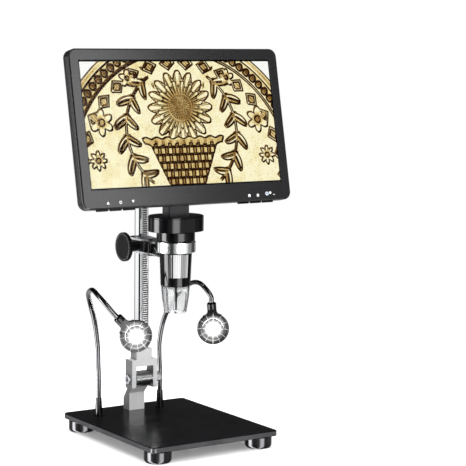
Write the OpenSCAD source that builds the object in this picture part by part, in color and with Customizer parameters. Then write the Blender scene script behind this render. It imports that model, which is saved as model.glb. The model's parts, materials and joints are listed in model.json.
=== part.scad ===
// LCD digital microscope: a ten inch screen and a camera tube on a rack-and-pinion
// stand with a tilting column, and two gooseneck lamps on a steel base plate.
// Millimetres, +Z up. The origin is on the floor under the middle of the base plate,
// and the screen faces -Y.

/* [Base] */
// Width of the base plate, side to side
base_w = 150; // [140:1:220]
// Depth of the base plate, front to back
base_d = 185; // [180:1:260]
// Thickness of the base plate
base_t = 6; // [5:0.5:10]
// Corner radius of the base plate
base_r = 5; // [2:0.5:12]
// Chamfer along the plate's edges
base_chamfer = 0.8; // [0.3:0.1:1.5]
// Diameter of a foot
foot_d = 28; // [20:1:34]
// Height of a foot
foot_h = 12; // [10:1:20]
// Distance from the plate's edges to a foot's axis
foot_inset = 15; // [15:0.5:24]

/* [Post] */
// Width of the foot post
post_w = 18.5; // [14:0.5:19]
// Depth of the foot post, front to back
post_d = 12.8; // [10:0.2:14]
// How far the post's front face stands behind the pivot axis
post_back = 9.3; // [9:0.1:11]
// Height of the post's front face above the plate
post_h = 18.8; // [16:0.2:24]
// Radius of the pivot knuckle on the post
knuckle_r = 8; // [7:0.1:9]
// Width of the pivot knuckle
knuckle_w = 20.4; // [19.2:0.2:22]
// Height of the pivot axis above the plate
pivot_h = 36; // [34:0.5:44]
// Diameter of the pivot bolt
pivot_d = 6; // [5:0.5:7]

/* [Column] */
// Distance from the plate's back edge to the column's centre
column_inset = 35.8; // [34:0.1:40]
// Side of the square column
column_s = 11.4; // [10:0.2:12]
// Height of the column's top above the floor
column_top = 300; // [296:1:330]
// Thickness of one clevis ear
ear_t = 5; // [4:0.2:6]
// Depth of the clevis, front to back
clevis_d = 14.3; // [13:0.1:16]
// Height of the clevis above its pivot axis, without the socket
clevis_h = 21; // [19:0.5:24]
// Width of the column socket
socket_w = 20; // [18:0.5:24]
// Height of the column socket
socket_h = 11.4; // [9:0.2:16]

/* [Rack and pinion] */
// Gear module of the rack and pinion
gear_m = 0.75; // [0.75:0.01:0.8]
// Teeth on the pinion
pinion_teeth = 10; // [10:1:10]
// Pressure angle of the teeth
pressure_angle = 20; // [20:0.5:22]
// Width of the rack
rack_w = 5.5; // [4:0.1:6]
// Thickness of the rack behind its teeth
rack_base_t = 1; // [0.8:0.1:1.4]
// Diameter of the pinion's shaft
shaft_d = 4; // [3:0.1:4.4]
// Diameter of the focusing knob
knob_d = 30.5; // [24:0.5:36]
// Thickness of the focusing knob
knob_t = 4.8; // [4:0.1:7]
// Distance from the column's middle to the knob's outer face
knob_reach = 30.5; // [28:0.5:40]

/* [Carriage] */
// Height of the carriage's middle above the floor
carriage_z = 197.7; // [194:0.1:200]
// Width of the carriage body
carriage_w = 22; // [21:0.5:26]
// Height of the black carriage body
carriage_h = 11; // [10.6:0.1:13]
// Distance from the column's centre to the carriage's front
carriage_front = 21.7; // [20:0.1:24]
// Distance from the column's centre to the carriage's back
carriage_back = 12.8; // [11.6:0.1:16]
// Thickness of an arm plate
plate_t = 2; // [1.5:0.1:3]
// Distance from the column's centre forward to the camera tube's axis
tube_reach = 68.2; // [66:0.1:74]

/* [Camera tube] */
// Height of the clamp ring's underside above the floor
ring_z = 197.5; // [196.5:0.1:198]
// Height of the clamp ring
ring_h = 11; // [10:0.2:12]
// Outer radius of the clamp ring
ring_r = 20.6; // [19:0.1:23]
// Outer radius of the focus ring
focus_r = 19.8; // [18:0.1:22]
// Height of the focus ring
focus_h = 9.4; // [7:0.1:9.4]
// Radius of the tube's neck inside the rings
neck_r = 15.5; // [15:0.1:16]
// Radius of the barrel at its top
barrel_r_top = 16.8; // [16.5:0.1:18]
// Radius of the barrel at its bottom
barrel_r_bottom = 15.4; // [15:0.1:16.4]
// Length of the barrel below the clamp ring
barrel_l = 35.2; // [34:0.2:38]
// Turn of the barrel's front to the left of the stand's front
barrel_turn = 19; // [0:1:40]
// Radius of the head's round ends
head_r = 22.7; // [21:0.1:24]
// Distance between the centres of the head's round ends
head_span = 13.8; // [8:0.2:16]
// Height of the head
head_h = 16; // [14:0.2:20]
// Outer radius of the clear tip at its top
tip_r_top = 14.8; // [14:0.1:15]
// Outer radius of the clear tip at its mouth
tip_r_mouth = 11.5; // [10:0.1:13]
// Length of the clear tip
tip_l = 27.2; // [24:0.2:32]
// Wall of the clear tip
tip_wall = 1.6; // [1.2:0.1:2]
// Width of the cut-out in the clear tip
tip_cut_w = 13.2; // [10:0.2:14]
// Turn of the cut-out to the left of the stand's front
tip_cut_turn = 6; // [0:1:30]

/* [Stem] */
// Width of the stem that carries the screen
stem_w = 24.6; // [18:0.2:28]
// Depth of the stem, front to back
stem_d = 13.8; // [12:0.2:15]
// How far the stem's front face stands in front of the tube's axis
stem_front = 6.5; // [5:0.1:7]
// Height of the screen's hinge axis above the floor
hinge_z = 260; // [258:0.5:262]
// Diameter of the screen's hinge pin
hinge_d = 5; // [4:0.2:6]

/* [Screen] */
// Width of the picture
picture_w = 222.72; // [200:0.02:222.8]
// Height of the picture
picture_h = 125.28; // [110:0.02:125.4]
// Lean of the screen back from upright
screen_lean = 11.93; // [10:0.01:14]
// Height of the picture's middle above the floor
screen_z = 330.2; // [329:0.1:332]
// Distance of the picture's middle in front of the camera tube's axis
screen_reach = 13; // [12.5:0.1:14.5]
// Width of the housing beside the picture
border_side = 12.09; // [11.5:0.01:18]
// Width of the housing above the picture
border_top = 13.06; // [11.5:0.01:18]
// Width of the housing below the picture
border_bottom = 20.66; // [20:0.01:24]
// Corner radius of the housing
screen_r = 8.5; // [8:0.1:12]
// Depth of the front housing
bezel_t = 7; // [6.5:0.1:9]
// Depth of the rear housing at its rim
back_t = 6.5; // [6:0.1:8]
// Extra depth of the raised box on the rear housing
bulge_t = 8.5; // [8:0.1:12]
// Width of the raised box
bulge_w = 170; // [165:1:200]
// Height of the raised box
bulge_h = 98; // [88:1:100]
// Wall of the housing
wall = 2.2; // [1.8:0.1:2.4]
// Width of the main board
board_w = 88; // [60:1:88]
// Height of the main board
board_h = 80; // [60:1:80]
// Width of the battery
battery_w = 58; // [40:1:58]
// Height of the battery
battery_h = 76; // [50:1:76]
// Thickness of the battery
battery_t = 8.4; // [6:0.2:8.4]
// Travel of a push button
button_travel = 0.8; // [0.4:0.1:1]
// Width of a push button
button_w = 12.2; // [9:0.2:12.4]
// Distance between neighbouring buttons
button_pitch = 15.1; // [14.8:0.1:16]

/* [Lamps] */
// Diameter of a gooseneck
goose_d = 5; // [4:0.2:5]
// Radius of a lamp head
lamp_r = 16.6; // [15:0.1:18]
// Radius of a lamp head's socket
lamp_socket_r = 4.8; // [4.4:0.1:5.2]
// Distance from a lamp's middle to its socket's end
lamp_socket_reach = 28; // [26:0.5:30]
// Height of a gooseneck's collar on the base
collar_h = 18.5; // [15:0.5:22]

/* [Fits] */
// Radial clearance of a shaft that turns in a bore
run_gap = 0.05; // [0.02:0.01:0.09]
// Clearance of the carriage's sleeve on each side of the column
slide_gap = 0.15; // [0.1:0.01:0.2]
// Clearance between pieces that move past each other
move_gap = 0.3; // [0.3:0.05:0.4]

/* [Hidden] */

$fn = 48;
eps = 0.01;

plate_top = foot_h + base_t;
foot_x = base_w / 2 - foot_inset;
foot_y = base_d / 2 - foot_inset;

// column, and the pivot that it tilts about
column_y = base_d / 2 - column_inset;
pivot_y = column_y - 0.7;
pivot_z = plate_top + pivot_h;
post_y0 = pivot_y + post_back;
post_y1 = post_y0 + post_d;
post_z1 = plate_top + post_h;
post_slope_z = plate_top + 12;
ear_gap = 0.3;
clevis_w = knuckle_w + 2 * ear_gap + 2 * ear_t;
clevis_z1 = pivot_z + clevis_h;
ear_drop = 10;
bolt_head_r = 5;
bolt_head_h = 3.4;
bolt_seat = 1.2;
seat_gap = 0.2;
bolt_socket_r = 2.6;
nut_h = 5;
bridge_z = pivot_z + 14;
socket_z1 = clevis_z1 + socket_h;
column_z0 = clevis_z1 + 1.5;
column_chamfer = 0.8;
cap_t = 2.5;

// rack teeth point to the front; heights are measured from the pitch line
pitch = PI * gear_m;
rack_addendum = 0.57 * gear_m;
pinion_addendum = gear_m;
tooth_gap = 0.2;
backlash = 0.1;
rack_dedendum = pinion_addendum + tooth_gap;
rack_face_y = column_y - column_s / 2;
pitch_y = rack_face_y - rack_base_t - rack_dedendum;
rack_tip_y = pitch_y - rack_addendum;
rack_z0 = socket_z1 + 0.5;
rack_z1 = column_top - cap_t;
pinion_rp = gear_m * pinion_teeth / 2;
pinion_ra = pinion_rp + pinion_addendum;
pinion_rf = pinion_rp - rack_addendum - tooth_gap;
pinion_rb = pinion_rp * cos(pressure_angle);
pinion_y = pitch_y - pinion_rp;
pinion_w = rack_w + 0.5;
pocket_r = pinion_ra + 0.4;

// carriage
carriage_y0 = column_y - carriage_front;
carriage_y1 = column_y + carriage_back;
carriage_z0 = carriage_z - carriage_h / 2;
carriage_z1 = carriage_z + carriage_h / 2;
sleeve_wall = 1.85;
sleeve_w = column_s + 2 * (slide_gap + sleeve_wall);
sleeve_rise = 3.2;
sleeve_z0 = carriage_z0 - sleeve_rise;
sleeve_z1 = carriage_z1 + sleeve_rise;
rack_slot_y = rack_tip_y - slide_gap;
sleeve_y0 = rack_slot_y - 1;
sleeve_y1 = column_y + sleeve_w / 2;
tube_y = column_y - tube_reach;
spacer_x = 6.5;
spacer_r = 3;
spacer_gap = 3;
spacer_y = carriage_y0 - spacer_gap - spacer_r;
boss_w = 15;
boss_l = 30.5;
boss_y1 = tube_y + boss_l;
boss_screw_y = boss_y1 - 5;
plate_screw_x = 9.3;
plate_screw_inset = 8;
plate_screw_y = carriage_y1 - plate_screw_inset;

// camera tube
ring_z1 = ring_z + ring_h;
focus_z = ring_z1 + 0.8;
head_z = focus_z + focus_h + 0.3;
head_z1 = head_z + head_h;
cap_z = head_z1 - 2;
barrel_z0 = ring_z - barrel_l;
bore_r = 12.2;
tip_z0 = barrel_z0 - tip_l;
window_z0 = barrel_z0 + 9.7;
window_z1 = window_z0 + 24;
window_span = 74;
window_t = 0.9;
cell_z0 = 176;
cell_h = 12;

// stem and screen hinge
stem_y0 = tube_y - stem_front;
stem_y1 = stem_y0 + stem_d;
hinge_y = (stem_y0 + stem_y1) / 2;
screen_y = tube_y - screen_reach;
hinge_dy = hinge_y - screen_y;
hinge_dz = hinge_z - screen_z;
hinge_v = hinge_dy * sin(screen_lean) + hinge_dz * cos(screen_lean);
hinge_w = hinge_dz * sin(screen_lean) - hinge_dy * cos(screen_lean);
bracket_ear_t = 2.6;
bracket_ear_r = 6.5;
bracket_t = 2;
bracket_h = 24;
bracket_screw_edge = 3;
bracket_screw_in = 2.3;
bracket_screw_x = stem_w / 2 - bracket_screw_in;
bracket_screw_v = bracket_h / 2 - bracket_screw_edge;

// screen, in its own frame: x right, y up the picture, z out of the glass
screen_w = picture_w + 2 * border_side;
screen_h = picture_h + border_top + border_bottom;
housing_v = (border_top - border_bottom) / 2;
housing_bottom = housing_v - screen_h / 2;
screen_edge = 1.2;
back_edge = 3;
lip = 0.8;
front_wall = 2.4;
picture_border = 1.5;
glass_w = picture_w + 6;
glass_h = picture_h + 6;
glass_t = 1.2;
panel_t = 4.2;
panel_z = -lip - glass_t - 0.05;
rear_z = -bezel_t - back_t;
inner_rear_z = rear_z + wall;
bulge_z = rear_z - bulge_t;
bulge_v = 1;
bulge_inner_z = bulge_z + wall;
board_z = panel_z - panel_t - 3;
board_x = -bulge_w / 2 + wall + 4.8 + board_w / 2;
battery_x = bulge_w / 2 - wall - 5.8 - battery_w / 2;
board_t = 1.6;
chip_t = 1.8;
button_z = -4.7;
button_t = 3.8;
button_out = 1.8;
left_buttons_x = -screen_w / 2 + 37.75;
right_buttons_x = screen_w / 2 - 43.05;
bottom_wall = 3;
flange_t = 1.4;
flange_gap = 0.2;
flange_v = housing_bottom + bottom_wall + flange_gap;
switch_board_l = 46;
switch_board_w = 3.4;
switch_w = 4;
switch_h = 2;
switch_d = 2.8;
switch_gap = 0.4;
board_v = flange_v + flange_t + button_travel + switch_gap + switch_h + board_t / 2;
indicator_x = screen_w / 2 - 26.45;
indicator_v = housing_bottom + 7.7;
port_places = [-20, 0];
port_z = -bezel_t - 2.3;

// lamps and goosenecks, placed from the foot of the column: the middle of a lamp's disc,
// then its turn about Z, its tip down and its roll
lamp_left = [-51.5, -76.2, 115.7];
lamp_left_aim = [-20, 4, -44];
lamp_right = [45, -70.7, 114];
lamp_right_aim = [-33, 5, -4];
collar_left = [-49, 4.5];
collar_right = [28, 7.5];
collar_r0 = 4;
collar_r1 = 3.25;
stud_r = 2.5;
stud_l = 5;
neck_in = 12;
neck_sides = 12;
neck_steps = 4;
lamp_back = 5;
lamp_rim_z = 2.6;
lamp_rim_in = 2.5;
lamp_step_z = 1.4;
lamp_step_in = 4.3;
lamp_seat_z = 0.2;
lamp_seat_in = 5.6;
lamp_floor_z = -1.6;
lamp_flat = 5;
lamp_socket_depth = 10;
neck_left_route = [
    [-49, 4.5, 60], [-49.5, 4.5, 71], [-51, 3.5, 93.5], [-57, -0.5, 120], [-66, -8, 139],
    [-76.5, -22.5, 153.5], [-83, -42.5, 160.5], [-84.5, -58, 156.5], [-81.5, -66, 150]
];
neck_right_route = [
    [28, 7.5, 60], [27, 7, 74.5], [26.5, 6, 90.5], [29, 2.5, 112.5], [33.5, -7.5, 134.5],
    [36.5, -24.5, 150.5], [37, -41.5, 159], [37, -56.5, 160.5], [38, -68.5, 155]
];

// colours
black_gloss = "#141414";
black_satin = "#2b2b2d";
aluminium = "#c4c6c8";
steel = "#8f9296";
chrome = "#e2e4e6";
board_green = "#1e5b3a";

// ---------------------------------------------------------------- shared shapes

// Cylinder along X from x0 to x1, its axis through (y, z)
module x_rod(x0, x1, y, z, r) {
    translate([x0, y, z]) rotate([0, 90, 0]) cylinder(r = r, h = x1 - x0);
}

// Rectangle with round corners, centred
module rounded_rect(w, h, r) {
    square([w - 2 * r, h], center = true);
    square([w, h - 2 * r], center = true);
    for (sx = [-1, 1], sy = [-1, 1])
        translate([sx * (w / 2 - r), sy * (h / 2 - r)]) circle(r);
}

// Section of a slab of width w and thickness t whose upper edges have the radius f
module slab_section(w, t, f) {
    translate([-w / 2, 0]) square([w, t - f]);
    translate([-w / 2 + f, 0]) square([w - 2 * f, t]);
    for (s = [-1, 1]) translate([s * (w / 2 - f), t - f]) circle(f);
}

// Half of that section, for the slab's round corners
module corner_section(r, t, f) {
    square([r, t - f]);
    square([r - f, t]);
    translate([r - f, t - f]) circle(f);
}

// Slab w by h with corner radius r, standing on z = 0, its upper edges rounded by f
module soft_slab(w, h, t, r, f) {
    rotate([90, 0, 90]) linear_extrude(w - 2 * r, center = true) slab_section(h, t, f);
    rotate([90, 0, 0]) linear_extrude(h - 2 * r, center = true) slab_section(w, t, f);
    for (sx = [-1, 1], sy = [-1, 1])
        translate([sx * (w / 2 - r), sy * (h / 2 - r), 0])
            rotate_extrude() corner_section(r, t, f);
}

// Slab standing on z = 0 with the chamfer c on its upper edges, and on its lower ones
// as well if both is true
module chamfered_slab(w, h, t, r, c, both = true) {
    z0 = both ? c : 0;
    translate([0, 0, z0]) linear_extrude(t - c - z0) rounded_rect(w, h, r);
    for (side = both ? [0, 1] : [1]) translate([0, 0, side * t]) mirror([0, 0, side]) {
        chamfer_bar(w, h - 2 * r, t / 2, c);
        rotate([0, 0, 90]) chamfer_bar(h, w - 2 * r, t / 2, c);
        for (sx = [-1, 1], sy = [-1, 1])
            translate([sx * (w / 2 - r), sy * (h / 2 - r), 0])
                cylinder(r1 = r - c, r2 = r, h = c);
    }
}

// Bar of width w and length l whose lower long edges have the chamfer c
module chamfer_bar(w, l, t, c) {
    rotate([90, 0, 0]) linear_extrude(l, center = true)
        polygon([[-w / 2 + c, 0], [w / 2 - c, 0], [w / 2, c], [w / 2, t],
                 [-w / 2, t], [-w / 2, c]]);
}

// Outline with two round ends of radius r, their centres span apart
module stadium(r, span) {
    square([span, 2 * r], center = true);
    for (s = [-1, 1]) translate([s * span / 2, 0]) circle(r);
}

// Screw that points up: head below z = 0, shank above it
module screw(head_r, head_h, shank_r, shank_l) {
    difference() {
        translate([0, 0, -head_h]) cylinder(r = head_r, h = head_h);
        translate([0, 0, -head_h - eps]) cylinder(r = head_r * 0.5, h = head_h / 2, $fn = 6);
    }
    cylinder(r = shank_r, h = shank_l);
}

module in_tube() { translate([0, tube_y, 0]) children(); }

module in_screen() {
    translate([0, screen_y, screen_z]) rotate([90 - screen_lean, 0, 0]) children();
}

// ------------------------------------------------------------------ base

module base_plate() {
    color(black_gloss) difference() {
        translate([0, 0, foot_h]) chamfered_slab(base_w, base_d, base_t, base_r, base_chamfer);
        for (sx = [-1, 1], sy = [-1, 1])
            translate([sx * foot_x, sy * foot_y, foot_h - eps])
                cylinder(r = 2.05, h = base_t - 1);
        for (s = [-1, 1]) translate([s * post_w * 0.27, (post_y0 + post_y1) / 2, foot_h - eps]) {
            cylinder(r = 2.55, h = base_t + 1);
            cylinder(r = 4.4, h = 3.3);
        }
        for (p = [collar_left, collar_right])
            translate([p.x, column_y + p.y, plate_top - stud_l])
                cylinder(r = stud_r + run_gap, h = stud_l + 1);
    }
}

module feet() {
    color(black_gloss) for (sx = [-1, 1], sy = [-1, 1])
        translate([sx * foot_x, sy * foot_y, 0]) difference() {
            rotate_extrude() foot_section();
            translate([0, 0, -eps]) cylinder(r = 4.3, h = 5);
            cylinder(r = 2.05, h = foot_h + 1);
        }
}

module foot_section() {
    edge = 1.6;
    polygon([[0, 0], [foot_d / 2 - edge, 0], [foot_d / 2 - 0.4, edge], [foot_d / 2, edge * 2],
             [foot_d / 2, foot_h - 0.6], [foot_d / 2 - 0.6, foot_h], [0, foot_h]]);
}

module foot_screws() {
    color(steel) for (sx = [-1, 1], sy = [-1, 1])
        translate([sx * foot_x, sy * foot_y, 5 - eps]) screw(3.7, 2.6, 2, foot_h + base_t - 7);
}

module foot_post() {
    color(aluminium) difference() {
        union() {
            translate([post_w / 2, 0, 0]) rotate([90, 0, -90]) linear_extrude(post_w)
                post_outline();
            x_rod(-knuckle_w / 2, knuckle_w / 2, pivot_y, pivot_z, knuckle_r);
        }
        x_rod(-knuckle_w, knuckle_w, pivot_y, pivot_z, pivot_d / 2 + run_gap);
        for (s = [-1, 1])
            translate([s * post_w * 0.27, (post_y0 + post_y1) / 2, plate_top - eps])
                cylinder(r = 2.55, h = 10);
    }
}

// Side view of the post, drawn with -y to the right
module post_outline() {
    polygon([[-post_y1, plate_top], [-post_y0, plate_top], [-post_y0, post_z1],
             [-pivot_y, pivot_z - knuckle_r], [-pivot_y, pivot_z],
             [-pivot_y - knuckle_r, pivot_z],
             [-pivot_y - knuckle_r, pivot_z - 4],
             [-post_y1, post_slope_z]]);
}

module post_screws() {
    color(steel) for (s = [-1, 1])
        translate([s * post_w * 0.27, (post_y0 + post_y1) / 2, foot_h + 3.3 - eps])
            screw(4.2, 2.8, 2.5, 11);
}

module neck_collars() {
    color(black_gloss) for (p = [collar_left, collar_right])
        translate([p.x, column_y + p.y, plate_top]) difference() {
            union() {
                cylinder(r = collar_r0 + 0.6, h = 1.6);
                cylinder(r1 = collar_r0, r2 = collar_r1, h = collar_h);
                translate([0, 0, -stud_l + 0.1]) cylinder(r = stud_r, h = stud_l);
            }
            translate([0, 0, collar_h - neck_in - 0.5])
                cylinder(r = goose_d / 2 + run_gap, h = neck_in + 1);
        }
}

// ------------------------------------------------------------------ column

module clevis() {
    color(aluminium) difference() {
        translate([0, pivot_y, 0]) {
            for (s = [-1, 1]) translate([s * (clevis_w - ear_t) / 2, 0, 0])
                clevis_ear();
            translate([-clevis_w / 2, -clevis_d / 2, bridge_z])
                cube([clevis_w, clevis_d, clevis_z1 - bridge_z]);
            translate([0, column_y - pivot_y, clevis_z1 - eps])
                linear_extrude(socket_h) rounded_rect(socket_w, clevis_d, 2.5);
        }
        translate([0, column_y, column_z0])
            linear_extrude(column_top) square(column_s, center = true);
        x_rod(-clevis_w, clevis_w, pivot_y, pivot_z, pivot_d / 2 + run_gap);
        // seats of the bolt's head and of the nut
        x_rod(-clevis_w / 2 - 1, -clevis_w / 2 + bolt_seat, pivot_y, pivot_z, bolt_head_r + seat_gap);
    }
}

module clevis_ear() {
    soft = 1.5;
    translate([-ear_t / 2, 0, 0]) rotate([90, 0, 90]) linear_extrude(ear_t)
        polygon([[-clevis_d / 2, clevis_z1 - eps], [-clevis_d / 2, pivot_z - ear_drop + soft],
                 [-clevis_d / 2 + soft, pivot_z - ear_drop],
                 [clevis_d / 2 - soft, pivot_z - ear_drop],
                 [clevis_d / 2, pivot_z - ear_drop + soft], [clevis_d / 2, clevis_z1 - eps]]);
}

module pivot_bolt() {
    head_x = -clevis_w / 2 + bolt_seat;
    color(steel) {
        x_rod(head_x, clevis_w / 2 + nut_h, pivot_y, pivot_z, pivot_d / 2);
        difference() {
            x_rod(head_x - bolt_head_h, head_x, pivot_y, pivot_z, bolt_head_r);
            translate([head_x - bolt_head_h - 0.1, pivot_y, pivot_z]) rotate([0, 90, 0])
                cylinder(r = bolt_socket_r, h = 2.2, $fn = 6);
        }
    }
}

// Domed nut on the bolt's end
module pivot_nut() {
    nut_x = clevis_w / 2;
    color(chrome) difference() {
        union() {
            translate([nut_x, pivot_y, pivot_z]) rotate([0, 90, 0]) {
                cylinder(r = 6.4, h = 1);
                translate([0, 0, 1]) cylinder(r = 5.8, h = 4.6, $fn = 6);
                translate([0, 0, 5.6]) rotate_extrude() dome_section(4.6, 3.6);
            }
        }
        x_rod(nut_x - 1, nut_x + 5.4, pivot_y, pivot_z, pivot_d / 2 + run_gap);
    }
}

// Quarter section of a cap of radius r and height h
module dome_section(r, h) {
    sphere_r = (r * r + h * h) / (2 * h);
    intersection() {
        translate([0, h - sphere_r]) circle(sphere_r);
        square([r, h]);
    }
}

module column() {
    color(chrome) translate([0, column_y, column_z0])
        linear_extrude(column_top - cap_t - column_z0) column_section();
}

module column_section() {
    a = column_s / 2;
    c = column_chamfer;
    polygon([[-a + c, -a], [a - c, -a], [a, -a + c], [a, a - c],
             [a - c, a], [-a + c, a], [-a, a - c], [-a, -a + c]]);
}

module column_cap() {
    color(black_satin) translate([0, column_y, column_top - cap_t])
        chamfered_slab(column_s, column_s, cap_t, 1.2, 0.5);
}

// Rack tooth number i as outline points, -y to the left of the pitch line
function rack_tooth(i) =
    let (z = carriage_z + i * pitch,
         half = pitch / 4 - backlash / 4,
         tip = half - rack_addendum * tan(pressure_angle),
         root = half + rack_dedendum * tan(pressure_angle))
    [[pitch_y + rack_dedendum, z - root], [rack_tip_y, z - tip],
     [rack_tip_y, z + tip], [pitch_y + rack_dedendum, z + root]];

module rack() {
    first = ceil((rack_z0 + pitch / 2 - carriage_z) / pitch);
    last = floor((rack_z1 - pitch / 2 - carriage_z) / pitch);
    outline = concat(
        [[rack_face_y, rack_z0], [pitch_y + rack_dedendum, rack_z0]],
        [for (i = [first : last]) each rack_tooth(i)],
        [[pitch_y + rack_dedendum, rack_z1], [rack_face_y, rack_z1]]);
    color(steel) translate([-rack_w / 2, 0, 0]) rotate([90, 0, 90])
        linear_extrude(rack_w) polygon(outline);
}

// ------------------------------------------------------------------ carriage

function involute(a) = tan(a) * 180 / PI - a;

// Half the angle that a pinion tooth fills at radius r
function tooth_half(r) =
    (pitch / 4 - backlash / 2) / pinion_rp * 180 / PI
    + involute(pressure_angle) - involute(acos(min(1, pinion_rb / max(r, pinion_rb))));

module pinion_section() {
    flank = 6;
    step = 360 / pinion_teeth;
    radii = concat([pinion_rf],
        [for (k = [0 : flank]) pinion_rb + (pinion_ra - pinion_rb) * k / flank]);
    n = len(radii);
    polygon([for (i = [0 : pinion_teeth - 1], k = [0 : 2 * n - 1])
        let (up = k < n,
             r = radii[up ? k : 2 * n - 1 - k],
             a = (i + 0.5) * step + (up ? -1 : 1) * tooth_half(r))
        [r * cos(a), r * sin(a)]]);
}

module pinion() {
    color(steel) {
        translate([-pinion_w / 2, pinion_y, carriage_z]) rotate([90, 0, 90])
            linear_extrude(pinion_w) pinion_section();
        x_rod(-knob_reach + 2.4, carriage_w / 2 - 2.2, pinion_y, carriage_z, shaft_d / 2);
    }
}

module focus_knob() {
    x0 = -knob_reach;
    hub_x = -carriage_w / 2 - move_gap;
    rim = 2.4;
    color(black_gloss) translate([x0, pinion_y, carriage_z]) rotate([0, 90, 0]) difference() {
        rotate_extrude() polygon([
            [0, 1.1], [knob_d / 2 - rim - 0.6, 0.9], [knob_d / 2 - rim, 0],
            [knob_d / 2 - 0.9, 0], [knob_d / 2, 0.9], [knob_d / 2, knob_t - 0.9],
            [knob_d / 2 - 0.9, knob_t], [7.6, knob_t], [5.3, knob_t + 1.6],
            [5.3, hub_x - x0 - 0.5], [4.8, hub_x - x0], [0, hub_x - x0]]);
        translate([0, 0, 2.4]) cylinder(r = shaft_d / 2, h = 40);
    }
}

module pinion_bush() {
    x0 = -carriage_w / 2;
    color(black_satin) difference() {
        x_rod(x0, -pinion_w / 2 - move_gap, pinion_y, carriage_z, pocket_r);
        x_rod(x0 - 1, 0, pinion_y, carriage_z, shaft_d / 2 + run_gap);
        translate([0, 0, sleeve_z0]) linear_extrude(sleeve_z1 - sleeve_z0) sleeve_outline();
    }
}

// Space that the column and its rack need, with the sliding clearance
module column_way() {
    way = column_s + 2 * slide_gap;
    translate([0, column_y]) square(way, center = true);
    translate([-rack_w / 2 - slide_gap, rack_slot_y])
        square([rack_w + 2 * slide_gap, column_y - rack_slot_y]);
}

module sleeve_outline() {
    translate([-sleeve_w / 2, sleeve_y0]) square([sleeve_w, sleeve_y1 - sleeve_y0]);
}

module carriage_sleeve() {
    color(aluminium) difference() {
        translate([0, 0, sleeve_z0]) linear_extrude(sleeve_z1 - sleeve_z0) difference() {
            sleeve_outline();
            column_way();
        }
        x_rod(-pinion_w / 2 - move_gap, pinion_w / 2 + move_gap, pinion_y, carriage_z, pocket_r);
    }
}

module carriage_body() {
    edge = 1.5;
    color(black_satin) difference() {
        translate([0, 0, carriage_z0]) linear_extrude(carriage_h) difference() {
            translate([0, (carriage_y0 + carriage_y1) / 2])
                rounded_rect(carriage_w, carriage_y1 - carriage_y0, edge);
            sleeve_outline();
        }
        x_rod(-carriage_w, pinion_w / 2 + move_gap, pinion_y, carriage_z, pocket_r);
        x_rod(-carriage_w, carriage_w / 2 - 1.5, pinion_y, carriage_z, shaft_d / 2 + run_gap);
        for (s = [-1, 1]) translate([s * plate_screw_x, plate_screw_y, carriage_z1 - 5])
            cylinder(r = 1.05, h = 6);
    }
}

module arm_plate_outline() {
    w = carriage_w - 1;
    difference() {
        union() {
            translate([-w / 2, tube_y]) square([w, carriage_y1 - 3 - tube_y]);
            translate([0, carriage_y1 - 3]) rounded_rect(w, 6, 2.5);
        }
        sleeve_outline();
        translate([0, tube_y]) circle(ring_r, $fn = 96);
    }
}

module arm_plates() {
    color(aluminium) difference() {
        for (z = [carriage_z0 - plate_t, carriage_z1])
            translate([0, 0, z]) linear_extrude(plate_t) arm_plate_outline();
        plate_screw_holes();
    }
}

module plate_screw_holes() {
    for (s = [-1, 1]) {
        translate([s * plate_screw_x, plate_screw_y, carriage_z1 - 1])
            cylinder(r = 1.05, h = plate_t + 2);
        translate([s * spacer_x, spacer_y, 0])
            for (z = [carriage_z0 - plate_t - 1, carriage_z1 - 1])
                translate([0, 0, z]) cylinder(r = 1.55, h = plate_t + 2);
    }
    translate([0, boss_screw_y, 0]) for (z = [carriage_z0 - plate_t - 1, carriage_z1 - 1])
        translate([0, 0, z]) cylinder(r = 1.3, h = plate_t + 2);
}

module arm_spacers() {
    color(black_gloss) for (s = [-1, 1])
        translate([s * spacer_x, spacer_y, carriage_z0]) difference() {
            cylinder(r = spacer_r, h = carriage_h);
            translate([0, 0, -1]) cylinder(r = 1.55, h = carriage_h + 2);
        }
}

// Screws of the arm plates and of the stem
module carriage_screws() {
    color(black_satin) {
        for (s = [-1, 1]) {
            translate([s * plate_screw_x, plate_screw_y, carriage_z1 + plate_t])
                rotate([180, 0, 0]) screw(1.6, 1.2, 1, plate_t + 4);
            for (side = [0, 1])
                translate([s * spacer_x, spacer_y, carriage_z])
                    mirror([0, 0, side]) translate([0, 0, carriage_h / 2 + plate_t])
                        rotate([180, 0, 0]) screw(2.7, 1.4, 1.5, plate_t + 5);
            translate([s * 7, hinge_y, cap_z]) screw(2.7, 1.8, 1.5, 12);
        }
        for (side = [0, 1]) translate([0, boss_screw_y, carriage_z])
            mirror([0, 0, side]) translate([0, 0, carriage_h / 2 + plate_t])
                rotate([180, 0, 0]) screw(2.2, 1.2, 1.25, plate_t + 3.5);
    }
}

module clamp_ring() {
    c = 0.5;
    color(chrome) difference() {
        union() {
            in_tube() rotate_extrude($fn = 96) polygon([
                [neck_r + run_gap, ring_z], [ring_r - c, ring_z], [ring_r, ring_z + c],
                [ring_r, ring_z1 - c], [ring_r - c, ring_z1], [neck_r + run_gap, ring_z1]]);
            difference() {
                translate([-boss_w / 2, tube_y, carriage_z0])
                    cube([boss_w, boss_y1 - tube_y, carriage_h]);
                in_tube() translate([0, 0, carriage_z0 - 1])
                    cylinder(r = barrel_r_top + 0.8, h = ring_z - carriage_z0 + 1);
                in_tube() translate([0, 0, ring_z - 1]) cylinder(r = ring_r - 2, h = 30);
            }
        }
        translate([0, boss_screw_y, 0]) for (z = [carriage_z0 - 1, carriage_z1 - 4])
            translate([0, 0, z]) cylinder(r = 1.3, h = 5);
    }
}

// ------------------------------------------------------------------ camera tube

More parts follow.
